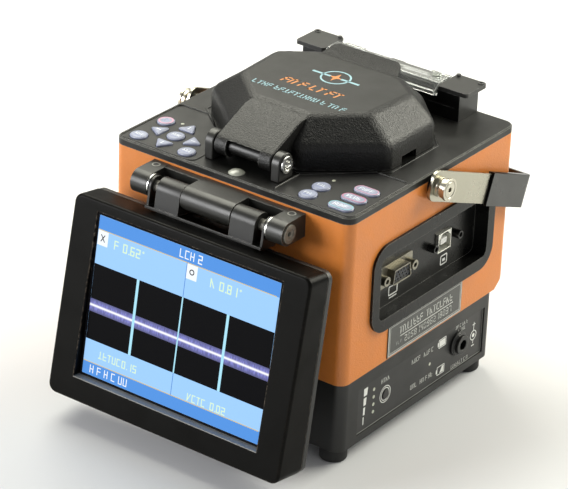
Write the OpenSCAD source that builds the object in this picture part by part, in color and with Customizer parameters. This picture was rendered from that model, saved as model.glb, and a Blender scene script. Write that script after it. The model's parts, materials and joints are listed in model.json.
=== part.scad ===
// Fiber fusion splicer: battery base, painted body with a side port bay, deck with two
// keypads, tilting monitor, lift-up wind hood over the splicing stage, rear tube heater
// and a swinging carry handle.
// Origin: centre of the overall box, on the floor. +X right, +Y to the back, +Z up.
// Module coordinates: X from the middle, Y from the body's front face, Z from the floor.

/* [Body] */
// Width of the body, left to right
body_w = 150; // [140:1:170]
// Depth of the body, front to back
body_d = 150; // [145:1:170]
// Height of the painted shell
body_h = 91; // [88:1:110]
// Radius of the upright corners
corner_r = 6; // [4:0.5:10]
// Wall thickness of the painted shell
shell_t = 3; // [2:0.5:4]

/* [Battery base] */
// Depth of the battery base
battery_d = 140; // [135:1:145]
// Height of the battery base
battery_h = 39; // [36:1:45]
// Height of the rubber feet
foot_h = 8; // [6:0.5:12]
// Radius of the rubber feet
foot_r = 7.3; // [5:0.1:9]

/* [Deck] */
// Thickness of the deck plate
deck_t = 4; // [3:0.5:6]
// How far a key travels
key_travel = 0.7; // [0.4:0.1:1]
// Gap between a key and its hole
key_gap = 0.3; // [0.3:0.05:0.5]

/* [Monitor] */
// Width of the monitor
monitor_w = 150; // [146:1:152]
// Depth of the monitor's bezel shell at its top edge
bezel_d = 14.8; // [13:0.1:18]
// Slant of the bezel's front face against the screen, in degrees
bezel_slant = 2.7; // [0:0.1:4]
// Lean of the monitor from upright, in degrees
monitor_lean = 9.2; // [4:0.1:12]
// Width of the visible screen
screen_w = 115.2; // [100:0.1:120]
// Height of the visible screen
screen_h = 86.9; // [75:0.1:90]

/* [Hood] */
// Height of the hood above the deck
hood_h = 25.5; // [24:0.5:30]
// Half width of the hood's foot
hood_half = 57.5; // [50:0.5:60]

/* [Handle] */
// Droop of the handle at rest, in degrees
handle_droop = 21.8; // [15:0.1:30]
// From the pivot to the inner face of the grip
handle_reach = 90.6; // [88.8:0.1:95]

/* [Hidden] */
$fn = 64;

eps = 0.01;

// Levels, from the floor
z_battery = foot_h;
z_body = z_battery + battery_h;
z_deck = z_body + body_h;
z_top = z_deck + deck_t;
half_w = body_w / 2;

// Handle, from its pivot
handle_y = 72;
handle_z = z_deck - 2.8;
strap_x = half_w + 2.4;
strap_t = 1.8;
strap_w = 16.4;
strap_end = 14.8;
strap_end_r = 5;
grip_t = 3.6;
grip_w = 18;
grip_start = 51;
grip_x = strap_x - 0.4;
handle_bolt_r = 2;

// Feet
foot_x = 65.6;
foot_ys = [8.4, battery_d - 8.6];
foot_bore_r = 3.4;
foot_screw_h = 2.4;

// Step in the lower back edge of the painted shell
tail_in = body_d - battery_d;
tail_up = 8;

// Monitor, in its own axes: x across, y back from the screen, z up from the screen's top
monitor_y = -31.6;
monitor_z = z_deck - 24.1;
bezel_front = -0.3;
bezel_back = bezel_front + bezel_d;
cover_t = 4;
bezel_top = 7.4;
bezel_bottom = -screen_h - 14.8;
bezel_low_front = bezel_front - (bezel_top - bezel_bottom) * tan(bezel_slant);
window_edge = 1.2;
window_draft = 0.7;
lcd_top = 1.6;
hinge_local_y = 15.1;
hinge_local_z = 19.4;
hinge_y = monitor_y + hinge_local_y * cos(monitor_lean) + hinge_local_z * sin(monitor_lean);
hinge_z = monitor_z + hinge_local_z * cos(monitor_lean) - hinge_local_y * sin(monitor_lean);
hinge_r = 6.4;
pin_r = 3;
pin_head_r = 5;
knuckle_hub_r = 6.2;
drum_half = 15.6;
knuckle_in = 16;
knuckle_out = 31.2;
flange_in = 35.3;
flange_out = 36.8;
tray_z = 10;
tray_t = 1.5;
ear_in = 38;
ear_out = 48;

// Bracket screws: upright set screws in the ears, and screws through the shell's front
screw_y = -5;
screw_x = 43;
bracket_screw_x = 26;
bracket_screw_z = z_deck - 8;
bracket_screw_l = 4.3;

// Hood hinge
hood_y = 15.5;
hood_z = z_top + 8.5;
hood_pin_r = 4;
post_in = 18.4;
post_out = 23.6;
post_r = 6;

// Hood outlines, outside and inside, at the foot and at the crown
hood_foot = [[-22, 27.5], [22, 27.5], [hood_half, 58], [hood_half, 98.5], [34, 122],
    [-34, 122], [-hood_half, 98.5], [-hood_half, 58]];
hood_crown = [[-18, 42], [18, 42], [40.5, 63], [43.2, 97.5], [26, 111], [-26, 111],
    [-43.2, 97.5], [-40.5, 63]];
hood_foot_in = [[-21, 30], [21, 30], [hood_half - 2.6, 59.2], [hood_half - 2.6, 97.4],
    [33, 119.4], [-33, 119.4], [-hood_half + 2.6, 97.4], [-hood_half + 2.6, 59.2]];
hood_crown_in = [[-17, 45], [17, 45], [37.9, 65], [40.4, 96.2], [25, 108.6], [-25, 108.6],
    [-40.4, 96.2], [-37.9, 65]];
hood_skirt = 13;
hood_lift = 0.3;
hood_crown_t = 2;

// Side port bay, on the right wall
bay_y = 76.8;
bay_z = z_body + 44.6;
bay_w = 111.5;
bay_h = 49.6;
bay_inner_w = 99;
bay_inner_h = 35.6;
bay_floor = half_w - 7;
frame_x = half_w + 1.6;
vga_y = 51.2;
usb_y = 96;
jack_stem_r = 1.9;

// Battery base side panel
panel_y0 = 15;
panel_y1 = 132;
panel_z0 = z_battery + 4.2;
panel_z1 = z_battery + 31.4;
panel_x = half_w - 1;
panel_t = 0.8;
jack_y = 107.8;
jack_z = z_battery + 19.5;
jack_r = 5.4;
jack_collar_r = 7;
gauge_y = 40.9;
gauge_z = z_battery + 17.7;

// Keypads
pad_depth = 0.8;
pad_t = 0.5;
round_key_r = 4.8;
cross_x = -50;
cross_y = 19.6;
pill_l = 14.4;
pill_w = 7.6;
key_rise = key_travel + 0.4;
key_drop = 3;
key_edge_h = 0.35;
key_edge = 0.4;
pill_x = 62.5;
pill_rows = [31.3, 20.2, 9.1];
right_round = [[42.1, 20.6], [42.1, 9.4]];
left_round = [[-65.3, 30.6], [-65.3, 8.3], [-34, 8.4]];

// Indicator lights: on the base panel as [y, z], on the deck as [x, y]
led_r = 0.95;
led_places = [for (n = [0:3]) [30.3, z_battery + 11.8 + n * 4.43], [81.8, z_battery + 17.8]];
deck_leds = [[-57.3, 34.4], [42.4, 31]];
lamp_y = 6;
lamp_stem_r = 3.35;

// Heater
heater_y0 = 130.5;
heater_y1 = 148.8;
heater_half = 51;
heater_end = 36.8;
heater_z = z_top + 11;
heater_pin_y = 147.4;
heater_pin_z = z_top + 13.6;
heater_pin_r = 1.2;
knuckle_r = 2.4;
groove_w = 6;
groove_y = 138.5;
lug_in = 37.2;

// Well in the deck for the splicing stage
well_x = 42;
well_y0 = 52;
well_y1 = 100;
well_z = z_top - 14;

// Splicing stage
fiber_y = 75.3;
fiber_z = z_top + 3;
clamp_y = 82.6;
clamp_z = z_top + 5.4;
clamp_in = 16;
clamp_out = 34;

// Overall box along Y, which sets the origin
box_front = monitor_y + bezel_low_front * cos(monitor_lean)
    + bezel_bottom * sin(monitor_lean);
grip_reach_top = (handle_reach + grip_t) * cos(handle_droop) + grip_w / 2 * sin(handle_droop);
box_back = handle_y + grip_reach_top;
box_mid = (box_front + box_back) / 2;

module at_body() {
    translate([0, -box_mid, 0]) children();
}

module both_sides() {
    children();
    mirror([1, 0, 0]) children();
}

// Points on an arc round the point c, from angle a0 to angle a1
function arc(c, r, a0, a1, steps = 8) = [for (k = [0:steps])
    c + r * [cos(a0 + k * (a1 - a0) / steps), sin(a0 + k * (a1 - a0) / steps)]];

// Rectangle with round corners, centred
module round_rect(w, h, r) {
    square([w - 2 * r, h], center = true);
    square([w, h - 2 * r], center = true);
    for (sx = [-1, 1], sy = [-1, 1])
        translate([sx * (w / 2 - r), sy * (h / 2 - r)]) circle(r = r);
}

// Slab with round upright corners whose front face is at y = 0
module slab(w, d, r, z0, z1) {
    translate([0, d / 2, z0]) linear_extrude(z1 - z0) round_rect(w, d, r);
}

// Extrudes an outline drawn in Y and Z along X, from x0 to x1
module along_x(x0, x1) {
    translate([x0, 0, 0]) rotate([90, 0, 90]) linear_extrude(x1 - x0) children();
}

module rod_x(x0, x1, y, z, r) {
    translate([x0, y, z]) rotate([0, 90, 0]) cylinder(r = r, h = x1 - x0);
}

module box(x0, x1, y0, y1, z0, z1) {
    translate([x0, y0, z0]) cube([x1 - x0, y1 - y0, z1 - z0]);
}

// ---- Battery base ----

module foot_profile() {
    edge = 1.2;
    difference() {
        union() {
            square([foot_r - edge, foot_h]);
            translate([0, edge]) square([foot_r, foot_h - edge]);
            translate([foot_r - edge, edge]) circle(r = edge);
        }
        translate([-eps, -eps]) square([foot_bore_r + eps, foot_h / 2 + eps]);
    }
}

module rubber_feet() {
    color("#1c1c1d") at_body()
        for (sx = [-1, 1], y = foot_ys)
            translate([sx * foot_x, y, 0]) difference() {
                rotate_extrude() foot_profile();
                cylinder(r = 1.6, h = foot_h + 1);
            }
}

module foot_screws() {
    color("#b9bcc0") at_body()
        for (sx = [-1, 1], y = foot_ys)
            translate([sx * foot_x, y, foot_h / 2 - foot_screw_h]) difference() {
                union() {
                    cylinder(r = 3.1, h = foot_screw_h);
                    cylinder(r = 1.5, h = foot_h / 2 + foot_screw_h + 2);
                }
                for (a = [0, 90])
                    rotate([0, 0, a]) cube([4, 0.9, 2.4], center = true);
            }
}

module side_holes(x0, x1) {
    rod_x(x0, x1, jack_y, jack_z, jack_r + 0.05);
    rod_x(x0, x1, gauge_y, gauge_z, 3);
    for (p = led_places)
        rod_x(x0, x1, p[0], p[1], led_r + 0.05);
}

module battery_case() {
    wall = 3;
    color("#5a5e5f") at_body() difference() {
        slab(body_w, battery_d, corner_r, z_battery, z_body);
        translate([0, wall, 0])
            slab(body_w - 2 * wall, battery_d - 2 * wall, corner_r - wall, z_battery + wall,
                z_body + 1);
        box(panel_x - panel_t, half_w + 1, panel_y0, panel_y1, panel_z0, panel_z1);
        side_holes(half_w - 8, half_w + 1);
        for (sx = [-1, 1], y = foot_ys)
            translate([sx * foot_x, y, z_battery - 1]) cylinder(r = 1.55, h = 6);
    }
}

module battery_panel() {
    color("#3f4142") at_body() difference() {
        box(panel_x - panel_t, panel_x, panel_y0, panel_y1, panel_z0, panel_z1);
        side_holes(half_w - 8, half_w + 1);
    }
}

module battery_cells() {
    cell_r = 9.2;
    cell_l = 65;
    pitch = 20;
    color("#2f6fa8") at_body()
        for (x = [-36.5, 31.2], n = [0:5])
            rod_x(x - cell_l / 2, x + cell_l / 2, 22 + n * pitch, z_battery + 13.5, cell_r);
}

module gauge_button() {
    color("#d8dad9") at_body() {
        rod_x(panel_x - 3.4, panel_x + 0.7, gauge_y, gauge_z, 2.7);
        rod_x(panel_x - 4.6, panel_x - 3.4, gauge_y, gauge_z, 3.6);
    }
}

module dc_jack() {
    face = half_w + 3;
    color("#161617") at_body() difference() {
        union() {
            rod_x(half_w - 10, face, jack_y, jack_z, jack_r);
            rod_x(half_w - 10, half_w - 3.2, jack_y, jack_z, jack_collar_r);
            rod_x(panel_x, panel_x + 1.4, jack_y, jack_z, jack_collar_r);
            rod_x(panel_x + 1.4 - eps, panel_x + 2, jack_y, jack_z, jack_collar_r - 0.6);
        }
        difference() {
            rod_x(half_w - 7, face + 1, jack_y, jack_z, 2.9);
            rod_x(half_w - 7.5, face - 3, jack_y, jack_z, 1.05);
        }
    }
}

// ---- Painted body ----

module body_outline_solid(inset, z0, z1) {
    translate([0, inset, 0])
        slab(body_w - 2 * inset, body_d - 2 * inset, corner_r - inset, z0, z1);
}

// Wedge cut off the lower back edge of the shell
module tail_cut() {
    along_x(-body_w, body_w)
        polygon([[body_d - tail_in, z_body - 1], [body_d - tail_in, z_body],
            [body_d, z_body + tail_up], [body_d + 5, z_body + tail_up],
            [body_d + 5, z_body - 1]]);
}

module tail_fill() {
    along_x(-half_w, half_w)
        polygon([[body_d - tail_in - 6, z_body], [body_d - tail_in, z_body],
            [body_d, z_body + tail_up], [body_d, z_body + tail_up + 3.6],
            [body_d - tail_in - 6, z_body + 1.8]]);
}

module body_shell() {
    color("#e8813a") at_body() difference() {
        union() {
            difference() {
                body_outline_solid(0, z_body, z_deck);
                body_outline_solid(shell_t, z_body + shell_t, z_deck + 1);
            }
            intersection() {
                body_outline_solid(0.5, z_body, z_deck);
                tail_fill();
            }
        }
        tail_cut();
        translate([half_w - 5, bay_y, bay_z]) rotate([90, 0, 90])
            linear_extrude(10) round_rect(bay_inner_w + 5, bay_inner_h + 5, 6);
        rod_x(-half_w - 1, half_w + 1, handle_y, handle_z, handle_bolt_r + 0.05);
        for (sx = [-1, 1])
            translate([sx * bracket_screw_x, -1, bracket_screw_z]) rotate([-90, 0, 0])
                cylinder(r = 1.7, h = 8);
    }
}

module port_frame() {
    lip = half_w;
    color("#4b4d4e") at_body() translate([0, bay_y, bay_z]) rotate([90, 0, 90]) difference() {
        union() {
            translate([0, 0, lip]) linear_extrude(frame_x - lip)
                round_rect(bay_w, bay_h, 12);
            translate([0, 0, bay_floor - 1.6]) linear_extrude(lip - bay_floor + 1.6)
                round_rect(bay_inner_w + 4.6, bay_inner_h + 4.6, 5.8);
        }
        translate([0, 0, bay_floor]) linear_extrude(20)
            round_rect(bay_inner_w, bay_inner_h, 4);
        translate([vga_y - bay_y, 0, bay_floor - 5]) linear_extrude(10)
            round_rect(17.6, 9, 2.4);
        for (s = [-1, 1])
            translate([vga_y - bay_y + s * 12.5, 0, bay_floor - 5])
                cylinder(r = jack_stem_r + 0.1, h = 10);
        translate([usb_y - bay_y, 0, bay_floor]) cube([12.1, 11.1, 10], center = true);
    }
}

module dsub_outline(grow) {
    w = 16.9 + 2 * grow;
    h = 8.3 + 2 * grow;
    slant = 10;
    trim = 3;
    difference() {
        round_rect(w, h, 2.2 + grow);
        for (s = [-1, 1])
            translate([s * w / 2, -h / 2]) rotate([0, 0, s * slant])
                translate([s * (trim / 2 - 0.2), 0]) square([trim, 3 * h], center = true);
    }
}

module in_bay(y) {
    translate([0, y, bay_z]) rotate([90, 0, 90]) children();
}

module vga_shell() {
    flange_w = 31;
    color("#b7ab84") at_body() in_bay(vga_y) {
        difference() {
            union() {
                translate([0, 0, bay_floor]) linear_extrude(1)
                    round_rect(flange_w, 12.4, 1.5);
                translate([0, 0, bay_floor - 3.4]) linear_extrude(9) dsub_outline(0);
            }
            translate([0, 0, bay_floor - 5]) linear_extrude(12) dsub_outline(-0.6);
            for (s = [-1, 1])
                translate([s * 12.5, 0, bay_floor - 1]) cylinder(r = jack_stem_r + 0.05, h = 5);
        }
        for (s = [-1, 1])
            translate([s * 12.5, 0, 0]) difference() {
                union() {
                    translate([0, 0, bay_floor + 1.05]) cylinder(r = 2.7, h = 4);
                    translate([0, 0, bay_floor - 7]) cylinder(r = jack_stem_r, h = 9);
                }
                translate([0, 0, bay_floor + 1]) cylinder(r = 1.3, h = 6);
            }
    }
}

module vga_insert() {
    pitch = 2.29;
    color("#20242c") at_body() in_bay(vga_y) difference() {
        translate([0, 0, bay_floor - 7]) linear_extrude(12) dsub_outline(-0.65);
        for (row = [-1, 0, 1], n = [-2:2])
            translate([(n + (row == 0 ? 0.5 : 0)) * pitch * 1.1 - 0.6, row * 1.98,
                bay_floor + 2])
                cylinder(r = 0.55, h = 5, $fn = 16);
    }
}

module usb_shell() {
    color("#c3c6c6") at_body() in_bay(usb_y) difference() {
        translate([0, 0, bay_floor - 12]) linear_extrude(13.5)
            square([12, 11], center = true);
        translate([0, 0, bay_floor - 11]) linear_extrude(14)
            intersection() {
                square([10.8, 9.8], center = true);
                translate([0, -1.6]) rotate(45) square([12.4, 12.4], center = true);
            }
    }
}

module usb_insert() {
    color("#eceee9") at_body() in_bay(usb_y)
        translate([0, 0, bay_floor - 11]) linear_extrude(11.8)
            square([5.6, 3.4], center = true);
}

module port_pegs() {
    color("#1b1b1c") at_body() in_bay(usb_y)
        for (s = [-1, 1])
            translate([s * 11.35, 0, bay_floor]) difference() {
                cylinder(r = 2.3, h = 4);
                translate([0, 0, 0.8]) cylinder(r = 1.4, h = 5);
            }
}

module id_plate() {
    plate_y = 72.6;
    plate_w = 68;
    plate_z0 = z_body + 0.9;
    plate_z1 = bay_z - bay_h / 2 - 0.1;
    color("#8d8f8c") at_body()
        box(half_w, half_w + 0.5, plate_y - plate_w / 2, plate_y + plate_w / 2, plate_z0,
            plate_z1);
}

module main_board() {
    board_z = z_body + 18;
    color("#1f6b45") at_body() {
        box(-60, 60, 14, 136, board_z, board_z + 1.6);
        box(-48, -22, 30, 56, board_z + 1.6, board_z + 5);
        box(-6, 18, 84, 108, board_z + 1.6, board_z + 4);
        box(26, 50, 100, 126, board_z + 1.6, board_z + 14);
        for (sx = [-1, 1], y = [20, 130])
            translate([sx * 52, y, z_body + shell_t]) cylinder(r = 3, h = board_z - z_body
                - shell_t);
    }
}

// ---- Deck, keypads and keys ----

// Outline of the right keypad; the left one is its mirror image
module keypad_outline(grow) {
    r = 3;
    inner_x = 25.5;
    outer_x = 73;
    front_y = 2.4;
    back_y = 52.6;
    step = 27.5;
    g = r + grow;
    polygon(concat(arc([inner_x + r, front_y + r], g, 270, 180),
        [[inner_x - grow, back_y - step - grow * 0.4], [inner_x + step - grow * 0.4, back_y + grow]],
        arc([outer_x - r, back_y - r], g, 90, 0), arc([outer_x - r, front_y + r], g, 0, -90)));
}

// Arrow key that points along +X: a triangle with round corners
module arrow_outline(grow) {
    base = [8.8, 4.06];
    tip_x = 15.1;
    g = 0.8 + grow;
    steep = 90 - atan2(base[1], tip_x - base[0]);
    polygon(concat(arc([tip_x, 0], g, -steep, steep), arc(base, g, steep, 180),
        arc([base[0], -base[1]], g, 180, 360 - steep)));
}

module round_outline(grow) {
    circle(r = round_key_r + grow);
}

module pill_outline(grow) {
    w = pill_w / 2 + grow;
    square([pill_l - pill_w, 2 * w], center = true);
    for (s = [-1, 1])
        translate([s * (pill_l - pill_w) / 2, 0]) circle(r = w);
}

module key_holes(grow) {
    for (p = concat(left_round, right_round, [[cross_x, cross_y]]))
        translate(p) round_outline(grow);
    for (a = [0, 90, 180, 270])
        translate([cross_x, cross_y]) rotate(a) arrow_outline(grow);
    for (y = pill_rows)
        translate([pill_x, y]) pill_outline(grow);
    for (p = deck_leds)
        translate(p) circle(r = led_r + 0.05);
}

module deck() {
    rim = 0.6;
    color("#3b3c3c") at_body() difference() {
        union() {
            body_outline_solid(0, z_deck, z_top - rim);
            body_outline_solid(rim, z_deck, z_top);
        }
        box(-well_x, well_x, well_y0, well_y1, z_deck - 1, z_top + 1);
        both_sides() translate([0, 0, z_top - pad_depth]) linear_extrude(5)
            keypad_outline(0.1);
        translate([0, 0, z_deck - 1]) linear_extrude(8) key_holes(key_gap);
        translate([0, lamp_y, z_top - 1.2]) cylinder(r = lamp_stem_r + 0.05, h = 3);
    }
}

// Tub under the deck that holds the splicing stage
module stage_well() {
    wall = 2.5;
    color("#2f3030") at_body() difference() {
        box(-well_x - wall, well_x + wall, well_y0 - wall, well_y1 + wall, well_z - wall,
            z_deck);
        box(-well_x, well_x, well_y0, well_y1, well_z, z_deck + 1);
    }
}

module keypad_films() {
    color("#46484a") at_body() difference() {
        both_sides() translate([0, 0, z_top - pad_depth]) linear_extrude(pad_t)
            keypad_outline(0);
        translate([0, 0, z_deck - 1]) linear_extrude(8) key_holes(key_gap);
    }
}

// One key: a stem and a cap whose top edge is stepped in a little
module key_at(x, y, turn) {
    top = z_top - pad_depth + pad_t + key_rise;
    at_body() translate([x, y, 0]) rotate([0, 0, turn]) {
        translate([0, 0, top - key_drop - key_edge_h]) linear_extrude(key_drop) children(0);
        translate([0, 0, top - key_edge_h - eps]) linear_extrude(key_edge_h) children(1);
    }
}

module round_key(x, y, tint) {
    color(tint) key_at(x, y, 0) {
        round_outline(0);
        round_outline(-key_edge);
    }
}

module arrow_key(turn) {
    color("#e4e4f4") key_at(cross_x, cross_y, turn) {
        arrow_outline(0);
        arrow_outline(-key_edge);
    }
}

module pill_key(row, tint) {
    color(tint) key_at(pill_x, pill_rows[row], 0) {
        pill_outline(0);
        pill_outline(-key_edge);
    }
}

module key_power() {
    round_key(left_round[0][0], left_round[0][1], "#e7a9b6");
}

module key_menu() {
    round_key(left_round[1][0], left_round[1][1], "#e4e4f4");
}

module key_escape() {
    round_key(left_round[2][0], left_round[2][1], "#e4e4f4");
}

module key_enter() {
    round_key(cross_x, cross_y, "#e4e4f4");
}

module key_right() {
    arrow_key(0);
}

module key_back() {
    arrow_key(90);
}

module key_left() {
    arrow_key(180);
}

module key_front() {
    arrow_key(270);
}

module key_zoom() {
    round_key(right_round[0][0], right_round[0][1], "#e4e4f4");
}

module key_view() {
    round_key(right_round[1][0], right_round[1][1], "#e4e4f4");
}

module key_heat() {
    pill_key(0, "#efdfe6");
}

module key_set() {
    pill_key(1, "#ecc3cf");
}

module key_reset() {
    pill_key(2, "#cfe9ee");
}

module status_leds() {
    color("#d9dfc9") at_body() {
        for (p = led_places)
            rod_x(panel_x - 3, panel_x + 0.15, p[0], p[1], led_r);
        for (p = deck_leds)
            translate([p[0], p[1], z_deck + 0.5]) cylinder(r = led_r, h = 3.35);
    }
}

module deck_lamp() {
    lamp_r = 4.3;
    dome_r = 6.5;
    rise = 1.9;
    color("#d7dccf") at_body() translate([0, lamp_y, 0]) {
        translate([0, 0, z_top - 1.2]) cylinder(r = lamp_stem_r, h = 1.25);
        intersection() {
            translate([0, 0, z_top]) cylinder(r = lamp_r, h = 5);
            translate([0, 0, z_top + rise - dome_r]) sphere(r = dome_r);
        }
    }
}

// ---- Monitor hinge ----

// Flat-topped outline that wraps the hinge axis and runs back to the body
module hinge_outline(r) {
    translate([hinge_y, hinge_z]) circle(r = r);
    translate([hinge_y, hinge_z - r]) square([-hinge_y, 2 * r]);
}

module hinge_bracket() {
    bar_t = 4.4;
    bar_half = 6.2;
    color("#3a3b3a") at_body() difference() {
        union() {
            both_sides() along_x(ear_in, ear_out) hinge_outline(hinge_r);
            along_x(-drum_half, drum_half) hinge_outline(hinge_r);
            box(-ear_out, ear_out, -bar_t, 0, hinge_z - bar_half, hinge_z + bar_half);
        }
        both_sides() rod_x(drum_half - 6, ear_out + 1, hinge_y, hinge_z, pin_r + 0.05);
        both_sides() rod_x(ear_out - 0.8, ear_out + 1, hinge_y, hinge_z, pin_head_r + 0.3);
        both_sides() translate([screw_x, screw_y, hinge_z + hinge_r - 6]) {
            cylinder(r = 1.65, h = 8);
            translate([0, 0, 5.1]) cylinder(r = 2.05, h = 2);
        }
        for (sx = [-1, 1])
            translate([sx * bracket_screw_x, -10, bracket_screw_z]) rotate([-90, 0, 0])
                cylinder(r = 1.7, h = 12);
    }
}

module hinge_screws() {
    color("#2b2b2c") at_body() {
        both_sides() translate([screw_x, screw_y, hinge_z + hinge_r - 6]) difference() {
            cylinder(r = 1.6, h = 5.6);
            translate([0, 0, 3.4]) cylinder(r = 0.95, h = 4, $fn = 6);
        }
        for (sx = [-1, 1])
            translate([sx * bracket_screw_x, 0, bracket_screw_z]) rotate([-90, 0, 0])
            difference() {
                union() {
                    translate([0, 0, -bracket_screw_l]) cylinder(r = 1.6, h = 9);
                    translate([0, 0, 3.05]) cylinder(r = 3, h = 2.2, $fn = 6);
                }
                translate([0, 0, -bracket_screw_l - 1]) cylinder(r = 0.8, h = 2.2, $fn = 6);
            }
    }
}

module hinge_pins() {
    color("#b59a62") at_body() both_sides() difference() {
        union() {
            rod_x(drum_half - 5, ear_out, hinge_y, hinge_z, pin_r);
            rod_x(ear_out - 0.8, ear_out + 0.6, hinge_y, hinge_z, pin_head_r);
        }
        rod_x(ear_out + 0.2, ear_out + 1, hinge_y, hinge_z, 2.9);
        rod_x(ear_out - 1.4, ear_out + 1, hinge_y, hinge_z, 1.3);
    }
}

module hinge_washers() {
    color("#d4d6d6") at_body() both_sides() difference() {
        rod_x(flange_out + 0.15, ear_in - 0.05, hinge_y, hinge_z, 6);
        rod_x(flange_out - 1, ear_in + 1, hinge_y, hinge_z, pin_r + 0.05);
    }
}

module in_monitor() {
    at_body() translate([0, monitor_y, monitor_z]) rotate([-monitor_lean, 0, 0]) children();
}

// ---- Monitor ----

// Outline of a knuckle or side plate: a round end on a foot that stands on the tray
module knuckle_outline(r) {
    translate([hinge_local_y, hinge_local_z]) circle(r = r);
    translate([hinge_local_y - r, tray_z - 1]) square([2 * r, hinge_local_z - tray_z + 1]);
}

module monitor_bracket() {
    tray_front = hinge_local_y - knuckle_hub_r - 0.5;
    tray_back = 21.5;
    color("#30312f") in_monitor() difference() {
        union() {
            box(-flange_out, flange_out, tray_front, tray_back, tray_z - tray_t, tray_z);
            box(-knuckle_out, knuckle_out, tray_front + 2.5, bezel_back, bezel_top,
                tray_z - tray_t + eps);
            both_sides() along_x(knuckle_in, knuckle_out) knuckle_outline(knuckle_hub_r);
            both_sides() along_x(flange_in, flange_out) knuckle_outline(5.5);
        }
        rod_x(-60, 60, hinge_local_y, hinge_local_z, pin_r + 0.05);
    }
}

module monitor_slab(inset, y0, y1, r) {
    h = bezel_top - bezel_bottom;
    translate([0, y1, (bezel_top + bezel_bottom) / 2]) rotate([90, 0, 0])
        linear_extrude(y1 - y0) round_rect(monitor_w - 2 * inset, h - 2 * inset, r);
}

// Window in the bezel, a little wider at its front
module screen_window() {
    grow = window_edge + window_draft;
    front = bezel_low_front - 1;
    hull() {
        translate([-screen_w / 2 - grow, front, -screen_h - grow])
            cube([screen_w + 2 * grow, eps, screen_h + 2 * grow]);
        translate([-screen_w / 2 - window_edge, 2.4, -screen_h - window_edge])
            cube([screen_w + 2 * window_edge, eps, screen_h + 2 * window_edge]);
    }
}

module monitor_bezel() {
    wall = 2.4;
    color("#232423") in_monitor() difference() {
        monitor_slab(0, bezel_low_front - 1, bezel_back, 5);
        difference() {
            monitor_slab(wall, 0, bezel_back + 1, 3);
            box(-monitor_w, monitor_w, -1, 1.7, lcd_top + 0.1, bezel_top);
        }
        translate([0, bezel_front, bezel_top]) rotate([-bezel_slant, 0, 0])
            box(-monitor_w, monitor_w, -20, 0, -1.5 * screen_h, 10);
        screen_window();
    }
}

module monitor_cover() {
    seam = 0.6;
    lip_t = 1.8;
    color("#3a3b3a") in_monitor() difference() {
        union() {
            monitor_slab(0.2, bezel_back + seam, bezel_back + cover_t, 5);
            monitor_slab(2.6, bezel_back - 3, bezel_back + cover_t, 3);
        }
        monitor_slab(2.6 + lip_t, bezel_back - 4, bezel_back + cover_t - 2, 2);
        for (n = [-3:3])
            box(n * 9 - 1.2, n * 9 + 1.2, bezel_back, bezel_back + 10, bezel_bottom + 18,
                bezel_bottom + 44);
    }
}

module lcd_panel() {
    edge = 5;
    color("#5c9fe6") in_monitor() {
        box(-screen_w / 2 - edge, screen_w / 2 + edge, 0.02, 5, -screen_h - edge, lcd_top);
        box(-50, 50, 5, 6.6, -screen_h + 6, -8);
    }
}

// ---- Wind hood ----

// Stands the octagon of the foot up and draws it in to the octagon of the crown
module hood_solid(foot, crown, z0, z1, z2) {
    translate([0, 0, z0]) linear_extrude(z1 - z0) polygon(foot);
    hull() {
        translate([0, 0, z1 - eps]) linear_extrude(eps) polygon(foot);
        translate([0, 0, z2 - eps]) linear_extrude(eps) polygon(crown);
    }
}

// Side view of the neck that joins the crown to the hinge barrel
module neck_outline() {
    crown_z = z_top + hood_h;
    translate([hood_y, hood_z]) circle(r = post_r);
    polygon([[hood_y - 2.6, hood_z + 5.4], [hood_y + 19.5, crown_z - 0.6],
        [hood_y + 27, crown_z], [hood_y + 34, crown_z], [hood_y + 34, crown_z - 3],
        [hood_y + 24, z_top + 14], [hood_y + 16, z_top + 3], [hood_y + 12, z_top + 3],
        [hood_y + 4, hood_z - 4]]);
}

// Finger tab at the hood's back edge
module hood_tab() {
    rise = 4;
    out = 8.5;
    hull() {
        translate([-25.6, 108, z_top + hood_h - 2.4]) cube([51.2, 3, 2.3]);
        for (s = [-1, 1])
            translate([s * 20.5, 111 + out - 3, z_top + hood_h + rise - 2])
                cylinder(r = 3, h = 1.9, $fn = 32);
    }
}

module hood() {
    crown_z = z_top + hood_h;
    color("#3c3d3b") at_body() difference() {
        union() {
            difference() {
                hood_solid(hood_foot, hood_crown, z_top + hood_lift, z_top + hood_skirt,
                    crown_z);
                hood_solid(hood_foot_in, hood_crown_in, z_top - 1, z_top + hood_skirt - 0.6,
                    crown_z - hood_crown_t);
            }
            along_x(-17.9, 17.9) neck_outline();
            hood_tab();
        }
        rod_x(-30, 30, hood_y, hood_z, hood_pin_r + 0.05);
        box(-10.4, 10.4, hood_y - 10, hood_y - 2, hood_z - 7, hood_z + 4.5);
        box(-70, 70, fiber_y - 6.6, fiber_y + 6.6, z_top - 1, z_top + 4.4);
        box(-80, 80, hood_y + 7, hood_y + 30, z_top - 1, z_top + hood_lift);
    }
}

module post_outline() {
    translate([hood_y, hood_z]) circle(r = post_r);
    translate([hood_y - post_r, z_top]) square([2 * post_r, hood_z - z_top]);
}

module hood_posts() {
    color("#343534") at_body() both_sides() difference() {
        along_x(post_in, post_out) post_outline();
        rod_x(post_in - 1, post_out + 1, hood_y, hood_z, hood_pin_r + 0.02);
    }
}

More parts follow.
